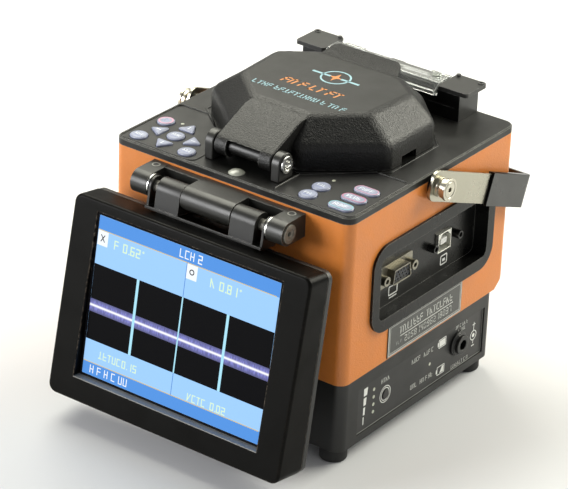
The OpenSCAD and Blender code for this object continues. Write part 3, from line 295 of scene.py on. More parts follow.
M = {
    "orange": surface("orange_paint", (0.68, 0.215, 0.036), 0.42, tint=0.05, grain=0.55,
                      grain_mm=0.75, depth_mm=0.16, kind="cells", smudge=0.1, wear_and_highlight=0.5,
                      wear_and_highlight_rgb=(0.9, 0.5, 0.24), wear_and_highlight_mm=0.5),
    "slate": surface("slate_plastic", (0.0105, 0.0108, 0.0102), 0.46, grain=0.35, grain_mm=0.4,
                     wear_and_highlight=0.6, wear_and_highlight_mm=0.6),
    "panel": surface("panel_film", (0.022, 0.022, 0.022), 0.42, grain=0.25, grain_mm=0.3),
    # The deck's lightened rim is a painted highlight: an unbroken bright line along its edges.
    "deck": surface("deck_plastic", (0.0055, 0.0055, 0.0048), 0.40, specular=0.4,
                    grain=0.35, grain_mm=0.38, smudge=0.16, wear_and_highlight=1.0,
                    wear_and_highlight_rgb=(0.22, 0.22, 0.2), wear_and_highlight_mm=0.7, even_highlight=0.6),
    # The beads' colour, lighter than the deck, is a painted highlight on their raised edges.
    "bead_highlight": surface("deck_bead", (0.011, 0.011, 0.0105), 0.24, grain=0.12, grain_mm=0.5,
                    smudge=0.05),
    "film": surface("keypad_film", (0.008, 0.008, 0.008), 0.5, grain=0.3, grain_mm=0.3),
    # The bay's lightened edges are a painted highlight along its lip.
    "bay": surface("bay_plastic", (0.005, 0.0051, 0.0049), 0.27, specular=0.22,
                   grain=0.12, grain_mm=0.5, wear_and_highlight=1.0, wear_and_highlight_rgb=(0.15, 0.15, 0.14),
                   wear_and_highlight_mm=0.6, even_highlight=0.6),
    # The black's lightened edges are partly wear and partly a painted highlight line.
    "black": surface("black_plastic", (0.004, 0.004, 0.0038), 0.34, grain=0.15, wear_and_highlight=0.8,
                     wear_and_highlight_rgb=(0.12, 0.12, 0.12), even_highlight=0.3),
    "rubber": surface("foot_rubber", (0.011, 0.011, 0.011), 0.72, grain=0.5, grain_mm=0.6),
    # The lightened edges of the bracket and knuckle paints are partly wear and partly a painted
    # highlight.
    "bracket": surface("bracket_paint", (0.019, 0.019, 0.0168), 0.34, grain=0.3, grain_mm=0.4,
                       wear_and_highlight=1.0, wear_and_highlight_rgb=(0.22, 0.21, 0.19), wear_and_highlight_mm=0.45),
    "knuckle": surface("knuckle_paint", (0.008, 0.008, 0.007), 0.4, grain=0.3, grain_mm=0.4,
                       wear_and_highlight=1.0, wear_and_highlight_rgb=(0.22, 0.21, 0.19), wear_and_highlight_mm=0.45),
    # A light grey standing in for the light on the slope under the screen: a painted highlight.
    "bezel_lip_highlight": surface("bezel_lip_highlight", (0.20, 0.20, 0.19), 0.3, grain=0.05, tint=0.1),
    # A light grey ring painted as the highlight on each set screw's bevelled hole.
    "screw_rim_highlight": surface("screw_rim_highlight", (0.24, 0.24, 0.22), 0.35, grain=0.2, metal=0.3),
    # The bezel's lightened edges are partly wear and partly a painted highlight.
    "bezel": surface("bezel_plastic", (0.0036, 0.0034, 0.0029), 0.38, specular=0.07,
                     grain=0.3, grain_mm=0.5, smudge=0.2, wear_and_highlight=1.0,
                     wear_and_highlight_rgb=(0.2, 0.16, 0.12), wear_and_highlight_mm=0.9),
    "cover": surface("cover_plastic", (0.018, 0.018, 0.017), 0.45, grain=0.4, grain_mm=0.45,
                     wear_and_highlight=0.8, wear_and_highlight_rgb=(0.15, 0.15, 0.14)),
    # The hood's lightened edges are a painted highlight on its bevels.
    "hood": surface("hood_grain", (0.003, 0.003, 0.0026), 0.38, grain=1.0, grain_mm=0.85,
                    depth_mm=0.36, tint=0.3, tint_mm=1.6, wear_and_highlight=1.0,
                    wear_and_highlight_rgb=(0.13, 0.13, 0.12), wear_and_highlight_mm=0.8),
    "crown": surface("hood_crown", (0.0075, 0.0075, 0.0065), 0.48, grain=0.3, grain_mm=0.3),
    "tab": surface("tab_grain", (0.003, 0.003, 0.0026), 0.52, grain=1.0, grain_mm=0.85,
                   depth_mm=0.5, tint=0.3, tint_mm=1.6),
    "nickel": surface("nickel_brushed", (0.40, 0.385, 0.315), 0.3, metal=1.0, tint=0.05,
                      grain=0.25, grain_mm=0.5, stretch=(0.5, 0.5, 14.0), smudge=0.16),
    "nickel_turned": surface("nickel_turned", (0.54, 0.515, 0.43), 0.32, metal=1.0, tint=0.05,
                             grain=0.08, grain_mm=0.5, smudge=0.08),
    "steel": surface("steel_bright", (0.62, 0.62, 0.6), 0.26, metal=1.0, grain=0.2),
    "usb_steel": surface("usb_plating", (0.74, 0.74, 0.68), 0.4, metal=0.7, grain=0.2),
    "dark_steel": surface("steel_black", (0.05, 0.05, 0.05), 0.34, metal=0.8, grain=0.2),
    "warm_steel": surface("socket_plating", (0.27, 0.255, 0.21), 0.36, metal=1.0, grain=0.15),
    # Nickel darkened and dulled as painted shade, for the pins in the dark gaps between the hinge's
    # knuckles.
    "nickel_shaded": surface("hinge_nickel", (0.22, 0.215, 0.19), 0.5, metal=0.45, grain=0.3,
                           tint=0.25, tint_mm=1.5),
    "gold": surface("contact_gold", (0.9, 0.66, 0.28), 0.2, metal=1.0, grain=0.1),
    "navy": surface("socket_navy", (0.012, 0.014, 0.02), 0.5, grain=0.15),
    "white": surface("tongue_white", (0.72, 0.72, 0.69), 0.4, grain=0.2),
    "plate": surface("label_plate", (0.066, 0.068, 0.064), 0.42, grain=0.2, grain_mm=0.3),
    "print": surface("print_pale", (0.52, 0.53, 0.50), 0.5, grain=0.2, grain_mm=0.25, tint=0.14,
                     tint_mm=1.5),
    "print_white": surface("print_white", (0.80, 0.81, 0.78), 0.45, grain=0.2, grain_mm=0.25),
    "print_dim": surface("print_dim", (0.32, 0.325, 0.31), 0.5, grain=0.2, grain_mm=0.25,
                         tint=0.16, tint_mm=1.2),
    "print_orange": surface("print_orange", (0.62, 0.24, 0.07), 0.5, grain=0.2, tint=0.1,
                            tint_mm=2),
    "print_cyan": surface("print_cyan", (0.30, 0.50, 0.56), 0.5, grain=0.2, tint=0.1,
                          tint_mm=2),
    "key": surface("key_lilac", (0.275, 0.30, 0.42), 0.3, grain=0.1, coat=0.4, tint=0.05,
                   tint_mm=5),
    "key_core": surface("key_core", (0.33, 0.36, 0.48), 0.3, grain=0.1, coat=0.4, tint=0.05,
                        tint_mm=5),
    "key_mark": surface("key_mark", (0.23, 0.27, 0.55), 0.4, grain=0.1),
    "key_lit": surface("key_glint", (0.82, 0.86, 0.93), 0.3, grain=0.1, coat=0.4),
    "pink": surface("key_pink", (0.55, 0.16, 0.28), 0.35, grain=0.1, coat=0.4),
    "rose": surface("key_rose", (0.62, 0.33, 0.46), 0.35, grain=0.1, coat=0.4),
    "cyan": surface("key_cyan", (0.22, 0.52, 0.60), 0.35, grain=0.1, coat=0.4),
    "led": surface("led_clear", (0.50, 0.52, 0.42), 0.18, grain=0.1, coat=0.8),
    "lamp": surface("lamp_clear", (0.42, 0.43, 0.37), 0.12, grain=0.5, grain_mm=0.8,
                    depth_mm=0.3, coat=0.9, tint=0.25, tint_mm=1.6),
    "ceramic": surface("groove_ceramic", (0.75, 0.73, 0.66), 0.35, grain=0.2),
    "alloy": surface("stage_alloy", (0.42, 0.43, 0.44), 0.34, metal=1.0, grain=0.2,
                     stretch=(6, 1, 1)),
    "cells": surface("cell_wrap", (0.05, 0.16, 0.34), 0.35, grain=0.2, coat=0.3),
    "board": surface("board_green", (0.02, 0.15, 0.07), 0.35, grain=0.3, coat=0.3, tint=0.2,
                     tint_mm=3),
    "clamp": surface("clamp_plastic", (0.026, 0.026, 0.0245), 0.44, grain=0.25, grain_mm=0.35,
                     wear_and_highlight=1.0, wear_and_highlight_rgb=(0.2, 0.2, 0.2)),
    "gloss_black": surface("grip_gloss", (0.004, 0.004, 0.0038), 0.33, grain=0.1, coat=0.25,
                           coat_rough=0.1, smudge=0.16),
    # A dull, barely reflective copy of the grip's black, so the rounded rim shows as a dark band:
    # painted shade.
    "grip_rim_shade": surface("grip_rim_shade", (0.003, 0.003, 0.003), 0.5, grain=0.1, specular=0.1),
    "clear": clear("lid_clear", (0.93, 0.95, 0.94)),
    "clear_white": clear("lid_boss", (0.86, 0.89, 0.84), 0.25),
    "scr_band": lit("screen_band", (0.095, 0.30, 0.76)),
    "scr_sky": lit("screen_sky", (0.345, 0.61, 0.98)),
    "scr_black": lit("screen_black", (0.004, 0.004, 0.005), 1.0),
    "scr_bar": lit("screen_bar", (0.42, 0.78, 0.93)),
    "scr_line": lit("screen_line", (0.10, 0.25, 0.62)),
    "scr_orange": lit("screen_orange", (0.74, 0.56, 0.20)),
    "scr_digit": lit("screen_digit", (0.74, 0.93, 0.62)),
    "scr_white": lit("screen_white", (0.88, 0.93, 1.0)),
    "scr_fiber": fiber_light("screen_fiber", -0.562 * SCREEN_H, 3.6),
}


# ---- Mesh helpers ----

def shade(mesh, angle=38):
    mesh.shade_smooth()
    mesh.set_sharp_from_angle(angle=rad(angle))


def finish_mesh(name, bm, mats, body, matrix=None, angle=38, weighted=True):
    """Makes the piece from bm, in place, and hangs it on its body."""
    mesh = bpy.data.meshes.new(name)
    bm.to_mesh(mesh)
    bm.free()
    obj = bpy.data.objects.new(name, mesh)
    bpy.context.scene.collection.objects.link(obj)
    for key in mats:
        mesh.materials.append(M[key])
    shade(mesh, angle)
    if weighted:
        obj.modifiers.new("even", "WEIGHTED_NORMAL").keep_sharp = True
    if matrix is not None:
        obj.matrix_world = matrix
    if body:
        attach(obj, body)
    return obj


def bevel(bm, width_mm, segments=2, angle=30, want=None):
    """Rounds the sharp edges of bm; want(edge) narrows the choice."""
    bm.normal_update()
    picked = [e for e in bm.edges if len(e.link_faces) == 2
              and abs(e.calc_face_angle(0)) > rad(angle) and (want is None or want(e))]
    if picked:
        bmesh.ops.bevel(bm, geom=picked, offset=width_mm * MM, segments=segments, profile=0.5,
                        affect="EDGES", clamp_overlap=True)


def skin(node, mat, width=0.35, segments=2, angle=32, rules=()):
    """Stands a softened copy of a CAD node in for it: same shape, with its edges rounded."""
    bm = bmesh.new()
    bm.from_mesh(NODES[node].data)
    bmesh.ops.remove_doubles(bm, verts=bm.verts, dist=3e-6)
    bmesh.ops.dissolve_limit(bm, angle_limit=rad(0.4), verts=bm.verts, edges=bm.edges)
    for want, wide, steps in rules:
        bevel(bm, wide, steps, angle, want)
    if width:
        bevel(bm, width, segments, angle)
    bmesh.ops.triangulate(bm, faces=[f for f in bm.faces if len(f.verts) > 4])
    obj = finish_mesh(node + "_skin", bm, [mat], BODY_OF[node])
    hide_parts(node)
    return obj


def second_finish(obj, mat, want):
    """Gives the faces that want(face) picks another finish."""
    obj.data.materials.append(M[mat])
    for f in obj.data.polygons:
        f.material_index = int(want(f))


def paint(node, mat):
    """Gives a CAD node its finish and keeps its mesh."""
    mesh = NODES[node].data
    if mesh.materials:
        for i in range(len(mesh.materials)):
            mesh.materials[i] = M[mat]
    else:
        mesh.materials.append(M[mat])


BODY_OF = {n: b for b, ns in frame["record"]["behaviour"]["bodies"].items() for n in ns}


def loop_faces(bm, rings, closed=True, index=0):
    """Quads between successive rings of vertices."""
    for a, b in zip(rings, rings[1:]):
        n = len(a)
        for i in range(n if closed else n - 1):
            j = (i + 1) % n
            bm.faces.new((a[i], a[j], b[j], b[i])).material_index = index


def prism(bm, outline, place, lo, hi, index=0):
    """Extrudes a 2D outline: place(u, v, h) gives the point at height h."""
    rings = [[bm.verts.new(place(u, v, h)) for u, v in outline] for h in (lo, hi)]
    loop_faces(bm, rings, index=index)
    bm.faces.new(list(reversed(rings[0]))).material_index = index
    bm.faces.new(rings[1]).material_index = index


def arc(cx, cy, r, a0, a1, steps=8):
    return [(cx + r * math.cos(rad(a0 + (a1 - a0) * k / steps)),
             cy + r * math.sin(rad(a0 + (a1 - a0) * k / steps))) for k in range(steps + 1)]


def round_rect(cx, cy, w, h, r, steps=5):
    pts = []
    for sx, sy, a in ((1, 1, 0), (-1, 1, 90), (-1, -1, 180), (1, -1, 270)):
        pts += arc(cx + sx * (w / 2 - r), cy + sy * (h / 2 - r), r, a, a + 90, steps)
    return pts


def lathe(bm, profile, place, steps=48, index=0):
    """Turns (radius, height) pairs round an axis: place(u, v, h)."""
    rings = []
    for r, h in profile:
        rings.append([bm.verts.new(place(r * math.cos(2 * math.pi * k / steps),
                                         r * math.sin(2 * math.pi * k / steps), h))
                      for k in range(steps)])
    loop_faces(bm, rings, index=index)
    bm.faces.new(list(reversed(rings[0]))).material_index = index
    bm.faces.new(rings[-1]).material_index = index


# ---- Printed marks ----

class Print:
    """Thin raised print on a flat face. u and v are millimetres on the face."""

    def __init__(self, name, body, mats, place, rise=0.06):
        self.name, self.body, self.mats, self.rise = name, body, mats, rise
        self.place = place
        self.bm = bmesh.new()

    def poly(self, pts, mat=0, rise=None):
        area = sum(a[0] * b[1] - b[0] * a[1] for a, b in zip(pts, pts[1:] + pts[:1]))
        pts = pts if area > 0 else pts[::-1]
        prism(self.bm, pts, self.place, -0.03, rise or self.rise, mat)

    def rect(self, u0, v0, u1, v1, mat=0, rise=None):
        self.poly([(u0, v0), (u1, v0), (u1, v1), (u0, v1)], mat, rise)

    def disc(self, u, v, r, mat=0, rise=None, steps=32):
        self.poly([(u + r * math.cos(2 * math.pi * k / steps),
                    v + r * math.sin(2 * math.pi * k / steps)) for k in range(steps)], mat, rise)

    def band(self, outer, inner, mat=0, rise=None):
        """The strip between two outlines with the same number of points."""
        top = rise or self.rise
        rings = [[self.bm.verts.new(self.place(u, v, h)) for u, v in pts]
                 for pts, h in ((outer, -0.03), (outer, top), (inner, top), (inner, -0.03))]
        loop_faces(self.bm, rings + [rings[0]], index=mat)

    def ring(self, u, v, r0, r1, mat=0, rise=None, steps=40):
        loops = [[(u + r * math.cos(2 * math.pi * k / steps),
                   v + r * math.sin(2 * math.pi * k / steps)) for k in range(steps)]
                 for r in (r1, r0)]
        self.band(loops[0], loops[1], mat, rise)

    def line(self, pts, width, mat=0, rise=None):
        for (u0, v0), (u1, v1) in zip(pts, pts[1:]):
            long = math.hypot(u1 - u0, v1 - v0)
            du, dv = (u1 - u0) / long, (v1 - v0) / long
            e, nu, nv = width / 2, -dv * width / 2, du * width / 2
            self.poly([(u0 - du * e + nu, v0 - dv * e + nv), (u0 - du * e - nu, v0 - dv * e - nv),
                       (u1 + du * e - nu, v1 + dv * e - nv), (u1 + du * e + nu, v1 + dv * e + nv)],
                      mat, rise)

    def glyphs(self, u0, u1, v, height, seed, mat=0, bold=0.17, slant=0.0):
        """Made-up marks of two or three strokes each where the real thing has wording."""
        rng = random.Random(seed)
        wide, stroke = height * 0.5, height * bold
        lean = height * slant
        ends = {"left": ((0, 0), (0, 1)), "right": ((1, 0), (1, 1)), "top": ((0, 1), (1, 1)),
                "low": ((0, 0), (1, 0)), "mid": ((0, 0.5), (1, 0.5)), "post": ((0.5, 0), (0.5, 1)),
                "up": ((0, 0), (1, 1)), "down": ((0, 1), (1, 0))}
        kinds = (("left", "top", "mid"), ("left", "low"), ("post", "top"), ("left", "right", "mid"),
                 ("left", "up"), ("left", "right", "low"), ("left", "top", "right"),
                 ("post", "low"), ("left", "mid", "low"), ("down", "left"), ("left", "top", "low"))
        u = u0
        while u + wide < u1:
            for key in rng.choice(kinds):
                (a, b), (c, d) = ends[key]
                self.line([(u + a * wide + b * lean, v + b * height),
                           (u + c * wide + d * lean, v + d * height)], stroke, mat)
            u += wide + height * (0.34 if rng.random() > 0.16 else 0.75)

    def digits(self, text, u, v, height, mat=0, stroke=None):
        """Numbers from seven strokes each."""
        w, s = height * 0.5, stroke or height * 0.13
        spots = {"a": ((0, 2), (1, 2)), "b": ((1, 2), (1, 1)), "c": ((1, 1), (1, 0)),
                 "d": ((0, 0), (1, 0)), "e": ((0, 0), (0, 1)), "f": ((0, 1), (0, 2)),
                 "g": ((0, 1), (1, 1))}
        shapes = {"0": "abcdef", "1": "bc", "2": "abged", "5": "afgcd", "6": "afgcde",
                  "8": "abcdefg", "3": "abgcd", "4": "fgbc", "7": "abc", "9": "abcdfg"}
        for ch in text:
            if ch == ".":
                self.rect(u - s * 0.3, v - s / 2, u + s * 0.8, v + s * 0.6, mat)
                u += w * 0.55
            elif ch == "o":
                self.ring(u + s, v + height * 0.9, s * 0.4, s, mat, None, 16)
                u += w
            else:
                for key in shapes[ch]:
                    (a, b), (c, d) = spots[key]
                    self.line([(u + a * w, v + b * height / 2), (u + c * w, v + d * height / 2)],
                              s, mat)
                u += w + s * 2.6

    def done(self, matrix=None):
        bmesh.ops.recalc_face_normals(self.bm, faces=self.bm.faces)
        return finish_mesh(self.name, self.bm, self.mats, self.body, matrix, 30, False)


def on_side(x):
    """Prints on a wall that faces +X at x: u runs to the back, v up."""
    return lambda u, v, h: at(x + h, u, v)


def on_top(z):
    return lambda u, v, h: at(u, v, z + h)


# ---- Body, base and side ----

def make_base():
    skin("battery_case", "slate", 0.7, 3)
    skin("battery_panel", "panel", 0)
    skin("body_shell", "orange", 0.6, 3)
    paint("rubber_feet", "rubber")
    skin("foot_screws", "steel", 0.15)
    paint("battery_cells", "cells")
    skin("gauge_button", "panel", 0.3)
    skin("dc_jack", "black", 0.6, 3)
    paint("main_board", "board")
    paint("status_leds", "led")
    paint("deck_lamp", "lamp")


def make_panel_print():
    """Marks on the base's side panel: charge bars, button rings, battery and plug signs."""
    p = Print("panel_print", "chassis", ["print_white", "print"], on_side(PANEL_X))
    for n in range(4):
        top, low = 37.0 - n * 5.6, 32.6 - n * 5.6
        wide = 3.4 - n * 0.85
        p.poly([(21.3, low), (21.3 + wide * 0.82, low), (21.3 + wide, top), (21.3, top)])
    p.ring(40.9, 25.7, 3.3, 3.75)
    p.ring(40.9, 25.7, 4.5, 4.9)
    rows = ((37.0, 45.2, 33.4, 2.3, 3), (64.8, 74.0, 32.9, 2.4, 5), (76.0, 85.0, 32.7, 2.4, 6),
            (64.7, 71.6, 17.6, 2.4, 7), (73.5, 86.0, 17.4, 2.4, 8), (105.6, 117.0, 36.4, 1.9, 9),
            (108.2, 116.0, 33.4, 1.9, 10), (102.9, 119.6, 13.4, 2.0, 11))
    for u0, u1, v, height, seed in rows:
        p.glyphs(u0, u1, v, height, seed, 1, 0.16)
    battery_icon(p, 93.2, 34.0, True)
    battery_icon(p, 93.0, 17.6, False)
    u = 123.6
    p.ring(u, 25.6, 2.5, 3.0)
    p.disc(u, 25.6, 1.2)
    p.line([(u, 28.6), (u, 30.6)], 0.45)
    p.line([(u, 22.6), (u, 20.8)], 0.45)
    p.line([(u - 1, 32.2), (u + 1.2, 32.2)], 0.5)
    p.line([(u + 0.1, 31.1), (u + 0.1, 33.3)], 0.5)
    p.line([(u - 1.1, 19.4), (u + 1.1, 19.4)], 0.5)
    p.done()
    fine = Print("panel_border", "chassis", ["print_dim"], on_side(PANEL_X), 0.12)
    outer = round_rect(73.5, 25.8, 116.6, 26.8, 0.6)
    inner = round_rect(73.5, 25.8, 115.9, 26.1, 0.4)
    fine.band(outer, inner)
    fine.done()


def battery_icon(p, u, v, full):
    """A small battery: outline, cap and how full it is."""
    p.band(round_rect(u, v, 7.0, 5.2, 0.5), round_rect(u, v, 6.2, 4.4, 0.3))
    p.rect(u - 4.4, v - 1.2, u - 3.6, v + 1.2)
    if full:
        p.rect(u - 2.7, v - 1.8, u + 2.7, v + 1.8)
    else:
        p.poly([(u - 1.0, v - 1.8), (u + 2.7, v - 1.8), (u + 2.7, v + 1.8), (u + 1.2, v + 1.8)])


def make_bay():
    """The side bay with its sockets, the screen and data signs, and the video socket's contacts."""
    skin("port_frame", "bay", 0.55, 3)
    skin("vga_shell", "warm_steel", 0.18)
    paint("vga_insert", "navy")
    skin("usb_shell", "usb_steel", 0.15)
    skin("usb_insert", "white", 0.2)
    skin("port_pegs", "black", 0.25)
    p = Print("bay_print", "chassis", ["print_white"], on_side(BAY_X))
    p.band(round_rect(51.6, 80.6, 8.2, 5.6, 0.9), round_rect(51.6, 80.6, 6.8, 4.2, 0.4))
    p.line([(48.6, 76.6), (54.6, 76.6)], 0.7)
    p.band(round_rect(98.2, 79.6, 6.4, 5.8, 0.9), round_rect(98.2, 79.6, 5.0, 4.4, 0.4))
    p.rect(97.0, 78.6, 99.4, 80.2)
    p.done()
    pins = bmesh.new()
    for row in (-1, 0, 1):
        z = VGA_Z + row * PIN_ROW
        for n in range(-2, 3):
            y = VGA_Y + (n + (0.5 if row == 0 else 0)) * PIN_PITCH - 0.6
            lathe(pins, [(0.3, 70.4), (0.3, 72.4), (0.12, 72.7)],
                  lambda u, v, h, y=y, z=z: at(h, y + u, z + v), 12)
    finish_mesh("socket_contacts", pins, ["gold"], "chassis")


def make_plate():
    """The identification plate with its double border and made-up wording."""
    skin("id_plate", "plate", 0.12, 1)
    p = Print("plate_print", "chassis", ["print", "print_dim"], on_side(PLATE_X), 0.05)
    p.band(round_rect(72.6, 57.3, 67.2, 18.1, 0.3), round_rect(72.6, 57.3, 65.8, 16.7, 0.2))
    p.band(round_rect(72.6, 57.3, 64.6, 15.5, 0.2), round_rect(72.6, 57.3, 64.0, 14.9, 0.2))
    p.glyphs(49.0, 70.5, 58.4, 3.7, 21)
    p.glyphs(73.5, 99.0, 58.4, 3.7, 22)
    p.line([(50.0, 56.8), (98.0, 56.8)], 0.55)
    p.glyphs(46.4, 52.4, 52.6, 1.8, 23, 1)
    p.digits("205814096218037", 54.0, 52.0, 3.3, 0, 0.5)
    p.done()


# ---- Deck and keys ----

def keypad_edge(side, grow):
    """The outline of a keypad film, with its slanted inner back corner, grown by grow."""
    r, inner, outer, low, top, step = 3, 25.5, 73.0, 2.4, 52.6, 27.5
    g = r + grow
    pts = (arc(inner + r, low + r, g, 270, 180)
           + [(inner - grow, top - step - grow * 0.4), (inner + step - grow * 0.4, top + grow)]
           + arc(outer - r, top - r, g, 90, 0) + arc(outer - r, low + r, g, 0, -90))
    return [(side * x, y) for x, y in pts]


def make_deck():
    """The deck and the fine beads that outline the keypads and the hood's foot; the beads are
    coloured lighter than the deck as a painted highlight.
    """
    skin("deck", "deck", 0.42, 3)
    skin("stage_well", "deck", 0.25, 2)
    paint("keypad_films", "film")
    p = Print("deck_bead", "chassis", ["bead_highlight"], on_top(Z_TOP), 0.34)
    for side in (-1, 1):
        p.band(keypad_edge(side, 0.95), keypad_edge(side, 0.18))
    middle = 76
    outer, inner = [[(x * wide, middle + (y - middle) * deep) for x, y in HOOD_FOOT]
                    for wide, deep in ((1.042, 1.05), (1.022, 1.025))]
    p.band(outer, inner)
    obj = p.done()
    soft = obj.modifiers.new("soft", "BEVEL")
    soft.width, soft.segments, soft.limit_method = 0.14 * MM, 2, "ANGLE"


CROSS_X, CROSS_Y = -50, 19.6
LEFT_ROUND = {"key_power": (-65.3, 30.6), "key_menu": (-65.3, 8.3), "key_escape": (-34, 8.4),
              "key_enter": (CROSS_X, CROSS_Y)}
RIGHT_ROUND = {"key_zoom": (42.1, 20.6), "key_view": (42.1, 9.4)}
ARROWS = {"key_right": 0, "key_back": 90, "key_left": 180, "key_front": 270}
KEY_FACE = KEY_TOP - 0.02
PILLS = {"key_heat": (62.5, 31.3), "key_set": (62.5, 20.2), "key_reset": (62.5, 9.1)}


def pill(u, v, l, w):
    """A long round-ended outline."""
    half = (l - w) / 2
    return arc(u + half, v, w / 2, -90, 90, 12) + arc(u - half, v, w / 2, 90, 270, 12)


def make_keys():
    """Round, arrow and pill keys, each with its own raised print that rides on the key."""
    for node, (x, y) in {**LEFT_ROUND, **RIGHT_ROUND}.items():
        skin(node, "key", 0.22, 2)
        p = Print(node + "_print", node, ["key_mark", "rose", "key_core", "key_lit"],
                  on_top(KEY_FACE), 0.07)
        if node == "key_power":
            p.ring(x, y, 3.1, 4.1, 1)
            p.disc(x, y, 3.0, 2, 0.05)
            p.ring(x, y - 0.1, 1.1, 1.4, 0)
            p.line([(x, y + 0.4), (x, y + 1.8)], 0.35)
        else:
            p.ring(x, y, 3.75, 4.0, 2)
            p.disc(x, y, 3.6, 2, 0.045)
            p.glyphs(x - 2.3, x + 2.6, y - 0.6, 2.0, ord(node[-1]), 3, 0.16)
            p.line([(x - 2.3, y - 1.6), (x + 2.3, y - 1.6)], 0.3)
        p.done()
    for node, turn in ARROWS.items():
        skin(node, "key", 0.2, 2)
        c, s = math.cos(rad(turn)), math.sin(rad(turn))
        p = Print(node + "_print", node, ["key_core", "key_lit"],
                  lambda u, v, h, c=c, s=s: at(CROSS_X + u * c - v * s,
                                               CROSS_Y + u * s + v * c, KEY_FACE + h), 0.06)
        p.poly([(9.4, -3.0), (14.0, 0.0), (9.4, 3.0)])
        p.line([(10.2, 0), (12.4, 0)], 0.5, 1, 0.09)
        p.done()
    tints = {"key_heat": "rose", "key_set": "pink", "key_reset": "cyan"}
    for node, (x, y) in PILLS.items():
        skin(node, "key", 0.22, 2)
        p = Print(node + "_print", node, [tints[node], "key_core", "key_lit"],
                  on_top(KEY_FACE), 0.07)
        p.band(pill(x, y, 13.2, 6.4), pill(x, y, 12.2, 5.4))
        p.poly(pill(x, y, 12.0, 5.2), 1, 0.045)
        p.glyphs(x - 4.2, x + 4.4, y - 1.2, 2.5, ord(node[4]), 2, 0.16)
        p.done()


# ---- Monitor ----

SCREEN_Y, SCREEN_DROP = -31.6, 24.1
BEZEL_FRONT, BEZEL_TOP, BEZEL_SLANT = -0.3, 7.4, 2.7
WINDOW_HALF, WINDOW_LOW, WINDOW_HIGH, LIP_FRONT = 62, -92, 4, -0.7
MON_AT = at(0, SCREEN_Y, Z_DECK - SCREEN_DROP)
MON = Matrix.Translation(MON_AT) @ Matrix.Rotation(rad(-LEAN), 4, "X")
MON_BACK = MON.inverted()


def in_monitor(e):
    """The edge's middle in the monitor's own axes, in millimetres."""
    return MON_BACK @ ((e.verts[0].co + e.verts[1].co) / 2) / MM


def not_window_back(e):
    """All but the window's thin lip against the display."""
    p = in_monitor(e)
    return not (p.y > LIP_FRONT and abs(p.x) < WINDOW_HALF and WINDOW_LOW < p.z < WINDOW_HIGH)


def outer_front(e):
    """The rim of the bezel's slanted front face."""
    p = in_monitor(e)
    face = BEZEL_FRONT - (BEZEL_TOP - p.z) * math.tan(rad(BEZEL_SLANT))
    return p.y < face + 0.1 and (abs(p.x) > 68 or p.z > 6 or p.z < -99)


def screen_place(u, v, h):
    """u across from the left, v down from the top, h towards the viewer, on the display."""
    return Vector((u - SCREEN_W / 2, -h, -v)) * MM


def make_monitor():
    bezel = skin("monitor_bezel", "bezel", 0, rules=[(outer_front, 1.6, 4),
                                                     (not_window_back, 0.35, 2)])
    turn = MON_BACK.to_3x3()
    lip_low, lip_high, lip_half = WINDOW_LOW, -80, 60

    def is_low_lip(f):
        """The slope under the screen, coloured light grey as a painted highlight where it catches the
        light.
        """
        mid, up = MON_BACK @ f.center / MM, turn @ f.normal
        return up.z > 0.4 and lip_low < mid.z < lip_high and abs(mid.x) < lip_half

    # The slope under the screen gets the painted highlight finish.
    second_finish(bezel, "bezel_lip_highlight", is_low_lip)
    skin("monitor_cover", "cover", 0.5, 3)
    skin("monitor_bracket", "knuckle", 0.45, 3)
    paint("lcd_panel", "scr_black")
    make_screen()


